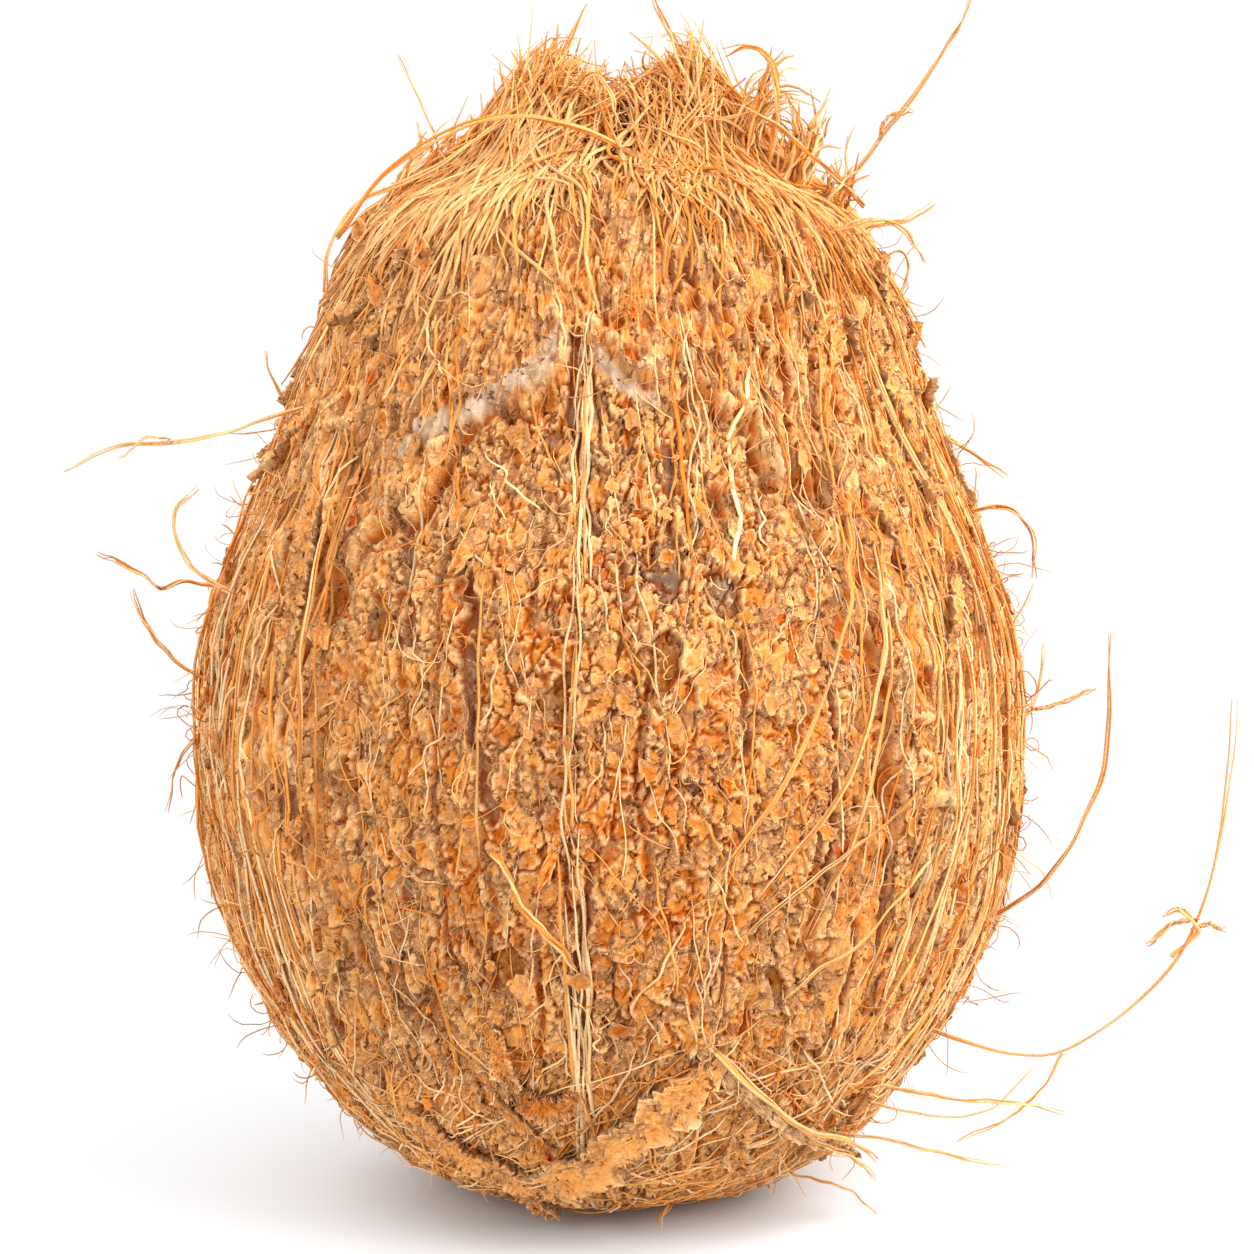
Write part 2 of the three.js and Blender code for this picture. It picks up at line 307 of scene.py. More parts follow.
def mesh_piece(name, parts, material, rounded=True):
    """One mesh from parts of many like elements: points, faces of one element, colours and map."""
    points, faces, colours, uvs, start = [], [], [], [], 0
    for verts, pattern, colour, uv in parts:
        count, size = verts.shape[:2]
        points.append(verts.reshape(-1, 3))
        colours.append(colour.reshape(-1, 3))
        uvs.append(uv.reshape(-1, 2))
        shift = start + size * np.arange(count)[:, None, None]
        faces.append((pattern[None] + shift).reshape(-1, 3))
        start += count * size
    points = np.vstack(points) * MM
    faces, colours, uvs = np.vstack(faces), np.vstack(colours), np.vstack(uvs)
    mesh = bpy.data.meshes.new(name)
    mesh.vertices.add(len(points))
    mesh.vertices.foreach_set("co", points.astype(np.float32).ravel())
    mesh.loops.add(faces.size)
    mesh.loops.foreach_set("vertex_index", faces.astype(np.int32).ravel())
    mesh.polygons.add(len(faces))
    mesh.polygons.foreach_set("loop_start", np.arange(0, faces.size, 3, dtype=np.int32))
    mesh.polygons.foreach_set("use_smooth", np.full(len(faces), rounded))
    mesh.update(calc_edges=True)
    tint = mesh.attributes.new("tint", "FLOAT_COLOR", "POINT")
    rgba = np.concatenate([colours, np.ones((len(colours), 1))], axis=1)
    tint.data.foreach_set("color", rgba.astype(np.float32).ravel())
    layer = mesh.uv_layers.new(name="OFBake")
    layer.data.foreach_set("uv", uvs[faces.ravel()].astype(np.float32).ravel())
    mesh.materials.append(material)
    piece = bpy.data.objects.new(name, mesh)
    bpy.context.scene.collection.objects.link(piece)
    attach(piece, "root")
    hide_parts("coconut")
    return piece


def grid_faces(index):
    """Two triangles for each cell of a grid of point numbers."""
    a, b, c, d = index[:-1, :-1], index[1:, :-1], index[1:, 1:], index[:-1, 1:]
    return np.concatenate([np.stack(f, axis=-1).reshape(-1, 3) for f in ((a, b, c), (a, c, d))])


CELL_MARGIN = 0.08


def cells(count, local):
    """Atlas map: each element's own map, from 0 to 1, set in a cell of a square grid."""
    rows = math.ceil(math.sqrt(count))
    index = np.arange(count)
    corner = np.stack([index % rows, index // rows], axis=1)[:, None, :]
    return (corner + CELL_MARGIN + (1 - 2 * CELL_MARGIN) * local) / rows


def tubes(paths, radii, colours, sides, flat=1.0):
    """Closed tapering tubes along paths, with a colour at each path point."""
    count, steps = paths.shape[:2]
    across, up = path_frame(paths)
    turn = 2 * np.pi * np.arange(sides) / sides
    ring = (across[:, :, None] * np.cos(turn)[:, None] + flat * up[:, :, None] * np.sin(turn)[:, None])
    verts = paths[:, :, None] + ring * radii[:, :, None, None]
    verts = np.concatenate([verts.reshape(count, -1, 3), paths[:, :1], paths[:, -1:]], axis=1)
    faces = []
    for k in range(steps - 1):
        for j in range(sides):
            a, b = k * sides + j, k * sides + (j + 1) % sides
            faces += [(a, b, b + sides), (a, b + sides, a + sides)]
    head, tail = steps * sides, steps * sides + 1
    for j in range(sides):
        faces.append((head, (j + 1) % sides, j))
        faces.append((tail, (steps - 1) * sides + j, (steps - 1) * sides + (j + 1) % sides))
    shade = np.repeat(colours, sides, axis=1)
    shade = np.concatenate([shade, colours[:, :1], colours[:, -1:]], axis=1)
    u = np.repeat(np.linspace(0, 1, steps), sides)
    v = np.tile(np.linspace(0, 1, sides), steps)
    local = np.concatenate([np.stack([u, v], axis=1), [(0, 0.5), (1, 0.5)]])
    return verts, np.array(faces), np.clip(shade, 0, 1), cells(count, local[None])


def taper(count, steps, width, start=0.5, end=0.25):
    """Radii that swell from the root and thin out to the tip."""
    t = np.linspace(0, 1, steps)
    form = np.minimum(1, np.minimum(start + 4 * t, end + (1 - t) * 3))
    return 0.5 * np.asarray(width).reshape(-1, 1) * form * np.ones((count, 1))


def streaked(colour, amount, turns, steps, seed):
    """Colours along fibres: each fibre's own colour, a little uneven from root to tip."""
    return colour[:, None] * (1 + amount * waves(len(colour), steps, turns, seed)[:, :, None])


def mixed(choices, weights, count, spread, draw):
    """A colour for each element, drawn from choices, with its own lightness."""
    pick = draw.choice(len(choices), count, p=np.array(weights) / np.sum(weights))
    light = draw.normal(1, spread, (count, 1))
    warm = draw.normal(0, 0.5 * spread, (count, 1))
    colour = np.array(choices)[pick] * np.clip(light, 0.45, 1.6)
    return np.clip(colour * np.concatenate([1 + 0.4 * warm, 1 - 0.3 * warm, 1 - 1.2 * warm], axis=1), 0, 1)


# Crust of the husk: corky plates on the panel, pores on the cap, fibre ridges on the flanks

LANES = 64
THREADS = 420
# Cell patterns: columns round the nut, height, seed, squeeze along the height, variation of size
LARGE_PLATES = (92, 5.2, 107, 0.62, 1.5)
SMALL_PLATES = (186, 2.6, 108, 0.7, 0.8)
LONG_PITS = (150, 5.5, 114, 0.34, 0.4)
CAP_PORES = (150, 7.0, 122, 0.3, 0.6)


def plates(azimuth, along, columns, tall, seed, squeeze, vary):
    """Cells round random points: distance to the nearest, gap to the next, offsets, random values."""
    draw = np.random.default_rng(seed)
    rows = int(SIDE / tall) + 3
    jitter = draw.uniform(0.05, 0.95, (columns, rows + 2, 2))
    values = draw.random((columns, rows + 2, 5))
    u, v = (azimuth / 360.0 + 0.5) * columns, along / tall + 1
    i, j = np.floor(u).astype(int), np.floor(v).astype(int)
    wide = 2 * np.pi * np.maximum(radius_at(along), 4) / columns
    first = np.full(u.shape, 1e9)
    second = np.full(u.shape, 1e9)
    off_x, off_y = np.zeros(u.shape), np.zeros(u.shape)
    pick = np.zeros(u.shape, int)
    for di in (-1, 0, 1):
        for dj in (-1, 0, 1):
            ci, cj = (i + di) % columns, np.clip(j + dj, 0, rows + 1)
            dx = (u - (i + di) - jitter[ci, cj, 0]) * wide
            dy = (v - (j + dj) - jitter[ci, cj, 1]) * tall * squeeze
            away = np.hypot(dx, dy) - vary * values[ci, cj, 4]
            near_one = away < first
            second = np.where(near_one, first, np.minimum(second, away))
            off_x, off_y = np.where(near_one, dx, off_x), np.where(near_one, dy, off_y)
            pick = np.where(near_one, ci * (rows + 2) + cj, pick)
            first = np.where(near_one, away, first)
    return first, second - first, off_x, off_y, values.reshape(-1, 5)[pick]


def blend(a, b, share):
    """Mix of two colours, or of two colour fields, by a share field."""
    return a + np.asarray(share)[..., None] * (b - a)


def warped(azimuth, along, amount, seed):
    """Places pushed about by noise, so that outlines turn lobed and serrated."""
    share = along / SIDE
    mm = np.degrees(1 / np.maximum(radius_at(along), 8))
    push_a, push_s = 0, 0
    for k, (columns, rows, part) in enumerate(((110, 60, 1.0), (240, 140, 0.6), (520, 320, 0.34))):
        push_a = push_a + part * lattice(azimuth, share, columns, rows, seed + 2 * k)
        push_s = push_s + part * lattice(azimuth, share, columns, rows, seed + 2 * k + 1)
    return azimuth + amount * mm * push_a, along + amount * push_s


def crust(azimuth, along):
    """Height of the husk's crust, colour, and how far painted shade darkens its gaps and hollows."""
    height, share = height_at(along), along / SIDE
    reach = np.maximum(radius_at(along), 10)
    front = panel(azimuth, height)
    cap = smooth(96, 108, height) * (1 - front)
    broad = lattice(azimuth, share, 26, 14, 104)
    coarse = lattice(azimuth, share, 130, 70, 105)
    mid = lattice(azimuth, share, 340, 200, 110)
    fine = lattice(azimuth, share, 760, 420, 106)

    # Lanes of fibre that run from foot to crown, a few millimetres wide, and finer ones inside them
    bend = azimuth + np.degrees((2.6 * lattice(azimuth, share, 34, 9, 111)
                                 + 0.7 * lattice(azimuth, share, 120, 40, 112)) / reach)
    lane = (bend / 360.0) % 1.0 * LANES
    groove = bump(np.abs(lane % 1 - 0.5), 0.5, 0.09)
    groove = groove * smooth(-0.15, 0.5, lattice(np.round(lane) * 360 / LANES, share, LANES, 16, 119))
    thread = (bend / 360.0) % 1.0 * THREADS
    thread_top = np.sqrt(np.clip(1 - (2 * (thread % 1) - 1) ** 2, 0, 1))
    thread_tone = lattice(np.floor(thread) * 360 / THREADS + 0.2, share, THREADS, 9, 117)

    # Corky plates of two sizes, each tilted its own way, with cracks that come and go
    a, s = warped(azimuth, along, 0.85, 131)
    _, gap, dx, dy, v = plates(a, s, *LARGE_PLATES)
    _, gap_small, dx2, dy2, w = plates(a, s, *SMALL_PLATES)
    split = smooth(-0.35, 0.45, coarse + 0.5 * broad)
    crack = (1 - smooth(0.05, 0.4, gap)) * (0.35 + 0.65 * split)
    crack_small = (1 - smooth(0.08, 0.42, gap_small)) * smooth(-0.5, 0.3, mid)
    crack_small = crack_small * (0.45 + 0.55 * smooth(50, 90, height + 14 * broad))
    gone = (v[..., 2] < 0.035 + 0.04 * broad).astype(float)
    chip = (w[..., 2] < 0.14).astype(float)
    tilt = 0.17 * (dx * (2 * v[..., 1] - 1) + dy * (2 * v[..., 3] - 1))
    tilt_small = 0.16 * (dx2 * (2 * w[..., 1] - 1) + dy2 * (2 * w[..., 3] - 1))
    rims = 0.22 * bump(gap, 0.5, 0.3) + 0.16 * bump(gap_small, 0.35, 0.22)
    level = 0.2 + 0.7 * v[..., 0] + tilt + 0.35 * (w[..., 0] - 0.5) + tilt_small + rims - 0.3 * chip
    plate = np.clip(level, -0.3, 2.0) * (1 - gone) - 0.15 * gone

    # Panel: plates over the shell
    cork = plate - 0.75 * crack - 0.75 * crack_small - 0.9 * groove + 0.16 * fine + 0.1 * mid
    red = bump(azimuth, -2, 26) * bump(height, 60, 32)
    tone = 0.5 * v[..., 4] + 0.3 * w[..., 4] + 0.2 * (0.5 + 0.5 * coarse) - 0.25 * red
    cork_colour = blend(blend(RUST, TAN, smooth(0.05, 0.35, tone)), GOLD, smooth(0.35, 0.7, tone))
    ground = blend(0.5 * TAN, 0.8 * SHELL, smooth(0.1, 0.8, broad + 0.4 * coarse))
    cork_colour = blend(cork_colour, ground, gone)

    # Flanks and back: threads, a net of long pits and flaky plates
    hole, _, _, _, n = plates(bend, along, *LONG_PITS)
    net = (1 - smooth(-0.05, 0.42, hole + 0.15 * mid)) * (n[..., 0] < 0.62)
    flaky = smooth(-0.1, 0.35, lattice(bend, share, 40, 9, 116) + 0.5 * coarse)
    ridge = 0.38 * thread_top * (0.6 + 0.4 * thread_tone) - 1.0 * net - 1.2 * groove + 0.14 * fine
    ridge = ridge + flaky * (0.25 + 0.75 * plate - 0.5 * crack - 0.5 * crack_small) + 0.35 * broad
    ridge_colour = blend(TAN, GOLD, smooth(-0.7, 0.2, thread_tone))
    ridge_colour = blend(ridge_colour, STRAW, 0.7 * smooth(0.2, 0.9, thread_tone))
    ridge_colour = blend(ridge_colour, blend(TAN, GOLD, smooth(0.2, 0.7, tone)), 0.75 * flaky)
    # Painted shade: pits of the net and the hollows between threads are painted toward brown.
    deep = 0.85 * net + 0.45 * (1 - thread_top) ** 3 * (1 - flaky)
    ridge_colour = blend(ridge_colour, BROWN, np.clip(deep, 0, 1))

    # Cap: porous lumps whose pores are darkened with painted shade, torn open most at the right of the
    # front
    pore, gap3, _, _, p = plates(*warped(bend, along, 0.5, 141), *CAP_PORES)
    torn = bump(azimuth, 20, 22) * bump(height, 121, 11)
    pores = (1 - smooth(-0.15, 0.3 + 0.3 * torn, pore)) * (p[..., 0] < 0.55 + 0.3 * torn)
    porous = 0.2 + p[..., 1] * smooth(0.0, 0.5, gap3) - (1 + 0.8 * torn) * pores
    porous = porous + 0.16 * fine + 0.2 * mid + 0.6 * coarse + 0.45 * thread_top - 0.6 * groove
    porous_colour = blend(blend(TAN, GOLD, p[..., 2]), STRAW, 0.5 * smooth(0.4, 1, p[..., 3]))
    porous_colour = blend(blend(porous_colour, TAN, 0.6 * torn), BROWN, 0.85 * pores)

    ridge_colour = blend(ridge_colour, GOLD, 0.5 * (1 - smooth(14, 34, height)))
    relief = ridge + cap * 0.75 * (porous - ridge)
    colour = blend(ridge_colour, porous_colour, 0.75 * cap)
    relief = relief + front * (cork - relief)
    colour = blend(colour, cork_colour, front)
    # Painted shade: cracks and grooves get a darkness share that crust_sector paints toward brown.
    dark = np.maximum(np.maximum(0.8 * crack, 0.75 * crack_small), 0.7 * groove)
    dark_off = np.maximum(0.5 * crack * flaky, 0.85 * groove)
    dark = np.clip(front * dark + (1 - front) * dark_off, 0, 1)

    # Torn lips of the thick husk over and beside the panel, with shadowed edges under them
    across, arch = arch_place(azimuth, height)
    within = 1 - smooth(0.75, 1.1, across)
    lip = within * bump(height - arch, 2.4, 2) * (0.5 + 0.5 * coarse + 0.4 * mid)
    ragged = coarse + broad
    under = within * bump(height - arch, -1.6, 1.4) * smooth(-0.8, 0.1, ragged)
    beside = smooth(40, 62, height) * (1 - smooth(106, 120, height))
    lip = lip + 1.2 * beside * bump(across, 1.26, 0.13) * (0.8 + 0.6 * coarse)
    slot = beside * bump(across, 1.04, 0.07) * smooth(-0.7, 0.1, ragged)
    under = np.maximum(under, slot)
    relief = relief + 1.5 * lip - 1.2 * under
    dark = np.maximum(dark, 0.95 * under)

    # Bare shell, whitish patches, and hollows darkened with painted shade
    lines = 0.85 + 0.3 * lattice(azimuth, share, 420, 12, 9)[..., None] + 0.2 * mid[..., None]
    shell = near(a, s, streaks)
    bare = near(0.5 * (a + azimuth), 0.5 * (s + along), patches)
    relief = relief + shell * (-0.8 - relief)
    colour = blend(colour, SHELL * lines, shell)
    relief = relief + bare * (0.8 + 0.15 * mid - relief)
    colour = blend(colour, BARE * lines, 0.8 * bare)
    dark = dark * (1 - shell) * (1 - bare)
    sunk = hollow_depth(azimuth, along)
    relief = relief - smooth(6, 14, height) * sunk
    # Painted shade: the deeper the hollow, the darker it is painted.
    dark = np.maximum(dark, np.clip(sunk / 2.2, 0, 1))
    return relief * smooth(0, 5, height), colour * (1 + 0.12 * fine + 0.1 * mid)[..., None], dark


def softened(field, cells_each_way):
    """Mean of a field over a square window, with the ends held."""
    for axis in (0, 1):
        pads = [(0, 0), (0, 0)]
        pads[axis] = (cells_each_way + 1, cells_each_way)
        total = np.cumsum(np.pad(field, pads, mode="edge"), axis=axis)
        size = 2 * cells_each_way + 1
        high = np.take(total, np.arange(size, total.shape[axis]), axis=axis)
        field = (high - np.take(total, np.arange(0, total.shape[axis] - size), axis=axis)) / size
    return field


CRUST_ROWS = 640
CRUST_MARGIN = 12


def crust_sector(first, last, columns):
    """Mesh of the husk's own surface between two azimuths, from the flat spot to the crown."""
    step = (last - first) / columns
    turns = first + step * np.arange(-CRUST_MARGIN, columns + 1 + CRUST_MARGIN)
    azimuth, along = np.meshgrid(turns, np.linspace(0, SIDE, CRUST_ROWS), indexing="ij")
    lift, colour, dark = crust(azimuth, along)
    near_mean, far_mean = softened(softened(lift, 2), 2), softened(softened(lift, 6), 6)
    # Painted light from the relief: points above their surroundings are paled as painted highlight, points
    # below them and gaps are browned as painted shade.
    ridge_light_hollow_shade = 0.6 * (lift - near_mean) / 0.16 + 0.4 * (lift - far_mean) / 0.5
    colour = blend(colour, STRAW, 0.6 * smooth(0.5, 1.6, ridge_light_hollow_shade))
    colour = blend(colour, BROWN, 0.75 * np.clip(smooth(0.3, 1.6, -ridge_light_hollow_shade) + dark, 0, 1))
    inner = slice(CRUST_MARGIN, CRUST_MARGIN + columns + 1)
    azimuth, along, lift, colour = azimuth[inner], along[inner], lift[inner], colour[inner]
    verts = over_husk(azimuth, along, lift)
    index = np.arange((columns + 1) * CRUST_ROWS).reshape(columns + 1, CRUST_ROWS)
    base = np.stack([np.full(columns, index.size), index[1:, 0], index[:-1, 0]], axis=1)
    faces = np.concatenate([grid_faces(index), base])
    points = np.concatenate([verts.reshape(-1, 3), [(0, 0, FLOOR_GAP)]])[None]
    shade = np.concatenate([np.clip(colour, 0, 1).reshape(-1, 3), [BROWN]])[None]
    u = (azimuth - first) / (last - first)
    uv = np.stack([u, 0.02 + 0.96 * along / SIDE], axis=-1).reshape(-1, 2)
    return points, faces, shade, np.concatenate([uv, [(0.5, 0.0)]])[None]


# Flakes

FLAKE_CORNERS = 13


def flakes(azimuth, along, size, stretch, turn, lift, curl, thick, colour, draw):
    """Thin curled plates on the husk, each an irregular outline with a raised edge, the edge paled as
    painted highlight and the underside darkened as painted shade.
    """
    count, n = len(azimuth), FLAKE_CORNERS
    theta = 2 * np.pi * (np.arange(n) + draw.uniform(-0.3, 0.3, (count, n))) / n
    reach = draw.uniform(0.5, 1.25, (count, n)) * size[:, None]
    zero = np.zeros((count, 1))
    share = np.concatenate([zero, np.full((count, n), 0.55), np.ones((count, 2 * n)), zero], axis=1)
    share[:, 2 * n + 1:3 * n + 1] = 0.9
    angle = np.concatenate([zero, theta, theta, theta, zero], axis=1)
    reach = np.concatenate([zero, reach, reach, reach, zero], axis=1) * share
    x = reach * np.cos(angle)
    y = reach * np.sin(angle) * stretch[:, None]
    c, s = np.cos(turn)[:, None], np.sin(turn)[:, None]
    x, y = x * c - y * s, x * s + y * c
    bend = draw.uniform(0, 2 * np.pi, (count, 1))
    form = 0.35 + np.cos(angle - bend) + 0.6 * np.cos(2 * angle + 2.1 * bend)
    rough = draw.normal(0, 0.16, share.shape) * size[:, None] * (share > 0.4)
    rise = curl[:, None] * share ** 2 * form + 0.55 * rough
    rise[:, 2 * n + 1:] = np.concatenate([rise[:, n + 1:2 * n + 1], rise[:, :1]], axis=1) - thick[:, None]
    wide = np.degrees(x / np.maximum(radius_at(along), 6)[:, None])
    place = np.clip(along[:, None] + y, 0.2, SIDE - 0.5)
    verts = over_husk(azimuth[:, None] + wide, place, lift[:, None] + rise)
    faces = []
    for k in range(n):
        k2 = (k + 1) % n
        mid, mid2, top, top2 = 1 + k, 1 + k2, 1 + n + k, 1 + n + k2
        low, low2 = 1 + 2 * n + k, 1 + 2 * n + k2
        faces += [(0, mid, mid2), (mid, top, top2), (mid, top2, mid2),
                  (top, low, low2), (top, low2, top2), (3 * n + 1, low2, low)]
    # Painted highlight on the raised edge ring.
    pale = np.zeros(share.shape)
    pale[:, n + 1:2 * n + 1] = draw.uniform(0.0, 0.75, (count, n))
    shade = colour[:, None] * (1 + 0.25 * draw.normal(0, 0.5, share.shape)[:, :, None])
    shade = shade + pale[:, :, None] * (STRAW - shade) * 0.8
    # Painted shade on the underside.
    shade[:, 2 * n + 1:] *= 0.7
    local = 0.5 + 0.5 * share[:, :, None] * np.stack([np.cos(angle), np.sin(angle)], axis=2)
    return verts, np.array(faces), np.clip(shade, 0, 1), cells(count, local)


def scatter(count, draw, low=6.0, high=132.0):
    """Random places on the husk, evenly over its area, between two heights."""
    first, last = at_height(low), at_height(high)
    places = np.linspace(first, last, 400)
    weight = np.cumsum(radius_at(places))
    along = np.interp(draw.random(count), weight / weight[-1], places)
    return draw.uniform(-180, 180, count), along


def zone_colour(azimuth, along, draw, count):
    """Husk colour by zone: redder in the middle of the front, paler towards the top of the panel and a
    little redder at the foot.
    """
    height = height_at(along)
    front = panel(azimuth, height)
    base = mixed([TAN, RUST, GOLD, BROWN], [5, 3, 3, 1], count, 0.14, draw)
    red = (bump(azimuth, -2, 22) * bump(height, 66, 26))[:, None]
    base = base + 0.45 * red * (RUST - base)
    pale = (smooth(84, 108, height) * front)[:, None]
    base = base + 0.4 * pale * (GOLD - base)
    low = (1 - smooth(20, 50, height))[:, None]
    base = base + 0.2 * low * (RUST - base)
    return np.clip(base, 0, 1)


def flake_set(count, seed, sizes, on_panel, off_panel, lifts):
    """Flakes of one size class, thinned outside the panel and left off bare shell."""
    draw = np.random.default_rng(seed)
    azimuth, along = scatter(count, draw)
    front = panel(azimuth, height_at(along))
    bare = np.maximum(near(azimuth, along, streaks), near(azimuth, along, patches))
    keep = draw.random(count) < (off_panel + (on_panel - off_panel) * front)
    keep &= draw.random(count) > 1.3 * bare
    azimuth, along, front = azimuth[keep], along[keep], front[keep]
    n = len(azimuth)
    size = draw.uniform(*sizes, n)
    stretch = draw.uniform(1.0, 1.7, n) + (1 - front) * draw.uniform(0.2, 1.6, n)
    turn = draw.normal(0, 0.45, n) * (0.3 + 0.7 * front)
    lift = draw.uniform(*lifts, n)
    curl = draw.uniform(0.05, 0.34, n) * size
    thick = draw.uniform(0.25, 0.55, n)
    colour = zone_colour(azimuth, along, draw, n)
    size = size * (1 - 0.25 * (1 - front))
    return flakes(azimuth, along, size, stretch, turn, lift, curl, thick, colour, draw)


# Strands that lie along the husk

def strands(azimuth, first, last, width, lift, bow, wander, drift, colour, seed,
            steps=22, sides=5, turns=2.0):
    """Fibres that lie on the crust from one place on its side to another, with sunk ends."""
    count = len(azimuth)
    t = np.linspace(0, 1, steps)
    along = np.clip(first[:, None] + (last - first)[:, None] * t, 0.5, SIDE - 4)
    sway = wander[:, None] * waves(count, steps, turns, seed) + drift[:, None] * (t - 0.5)
    turned = azimuth[:, None] + np.degrees(sway / np.maximum(radius_at(along), 10))
    ground = crust(turned, along)[0]
    ground = 0.5 * ground + 0.25 * (np.roll(ground, 1, axis=1) + np.roll(ground, -1, axis=1))
    high = ground + lift[:, None] + bow[:, None] * (0.5 + 0.5 * waves(count, steps, 2.2, seed + 1))
    high = high - (0.5 + 0.6 * lift[:, None]) * (1 - smooth(0, 0.08, t) * (1 - smooth(0.92, 1, t)))
    paths = over_husk(turned, along, high)
    shade = streaked(colour, 0.14, 5, steps, seed + 2)
    return tubes(paths, taper(count, steps, width), shade, sides, 0.75)


def flank_strands(count, seed, longest, width, centre=0, spread=180):
    """Strands of the thick husk on the flanks and back, or gathered about one azimuth."""
    draw = np.random.default_rng(seed)
    azimuth = centre + spread * draw.uniform(-1, 1, count * 2)
    middle = at_height(draw.uniform(12, 122, count * 2))
    keep = panel(azimuth, height_at(middle)) < draw.uniform(0.05, 0.5, count * 2)
    keep &= near(azimuth, middle, patches) < 0.1
    azimuth, middle = azimuth[keep][:count], middle[keep][:count]
    n = len(azimuth)
    half = draw.uniform(0.2, 0.5, n) * longest
    slant = 0.3 * half * bump(azimuth, 48, 26) * bump(height_at(middle), 55, 40)
    colour = mixed([STRAW, GOLD, TAN, RUST], [5, 5, 2, 1], n, 0.12, draw)
    return strands(azimuth, np.maximum(middle - half, 2), np.minimum(middle + half, at_height(124)),
                   draw.uniform(*width, n), draw.uniform(0.0, 0.4, n), draw.uniform(0, 1.1, n) ** 2,
                   draw.uniform(0.4, 2.2, n), draw.normal(0, 5, n) + slant, colour, seed)


def panel_fibres(count, seed):
    """Thin pale veins that wind over the plates of the panel and the cap."""
    draw = np.random.default_rng(seed)
    azimuth, along = scatter(count * 5, draw, 16, 128)
    keep = panel(azimuth, height_at(along)) + 0.3 > draw.random(len(azimuth))
    keep &= near(azimuth, along, patches) < 0.1
    azimuth, along = azimuth[keep][:count], along[keep][:count]
    n = len(azimuth)
    half = draw.uniform(2.5, 11, n)
    colour = mixed([STRAW, GOLD, TAN], [5, 3, 1], n, 0.12, draw)
    return strands(azimuth, along - half, along + half, draw.uniform(0.15, 0.38, n),
                   draw.uniform(0.0, 0.22, n), draw.uniform(0.0, 0.7, n) ** 2, draw.uniform(0.3, 1.5, n),
                   draw.normal(0, 4, n), colour, seed, steps=18, sides=4, turns=1.8)


def foot_strands(count, seed):
    """Fibres that sweep round the foot at a slant, matted over each other."""
    draw = np.random.default_rng(seed)
    azimuth = draw.uniform(-180, 180, count)
    along = at_height(draw.uniform(2.5, 26, count))
    half = draw.uniform(2, 11, count)
    drift = draw.choice([-1, 1], count, p=[0.35, 0.65]) * draw.uniform(4, 26, count)
    colour = mixed([STRAW, GOLD, TAN], [5, 4, 1], count, 0.12, draw)
    return strands(azimuth, np.maximum(along - half, 1.5), along + half,
                   draw.uniform(0.18, 0.46, count), draw.uniform(0.0, 0.5, count),
                   draw.uniform(0, 1.1, count) ** 2, draw.uniform(0.3, 1.6, count), drift, colour, seed)


SEAM_AZIMUTH = -4.4


def seam_strands(seed):
    """Pale strands of the seam down the front, and along one edge of each bare streak."""
    draw = np.random.default_rng(seed)
    rows = []
    for low, high, count in ((88, 124, 9), (8, 62, 8), (50, 100, 4)):
        for _ in range(count):
            top = draw.uniform(0.6 * high + 0.4 * low, high)
            azimuth = draw.normal(SEAM_AZIMUTH, 0.9)
            rows.append((azimuth, at_height(draw.uniform(low, 0.6 * low + 0.4 * top)), at_height(top)))
    for width, line_azimuth, line_along in streaks:
        shift = np.degrees(draw.choice([-1, 1]) * 1.3 * width / radius_at(line_along.mean()))
        low, high = line_along.min(), line_along.max()
        rows.append((line_azimuth.mean() + shift, low - draw.uniform(2, 7), high + draw.uniform(2, 7)))
    rows = np.array(rows)
    n = len(rows)
    colour = mixed([STRAW, GOLD], [4, 1], n, 0.1, draw)
    return strands(*rows.T, draw.uniform(0.28, 0.6, n), draw.uniform(0.1, 0.5, n), draw.uniform(0, 0.5, n),
                   draw.uniform(0.3, 1.1, n), draw.normal(0, 1.0, n), colour, seed)
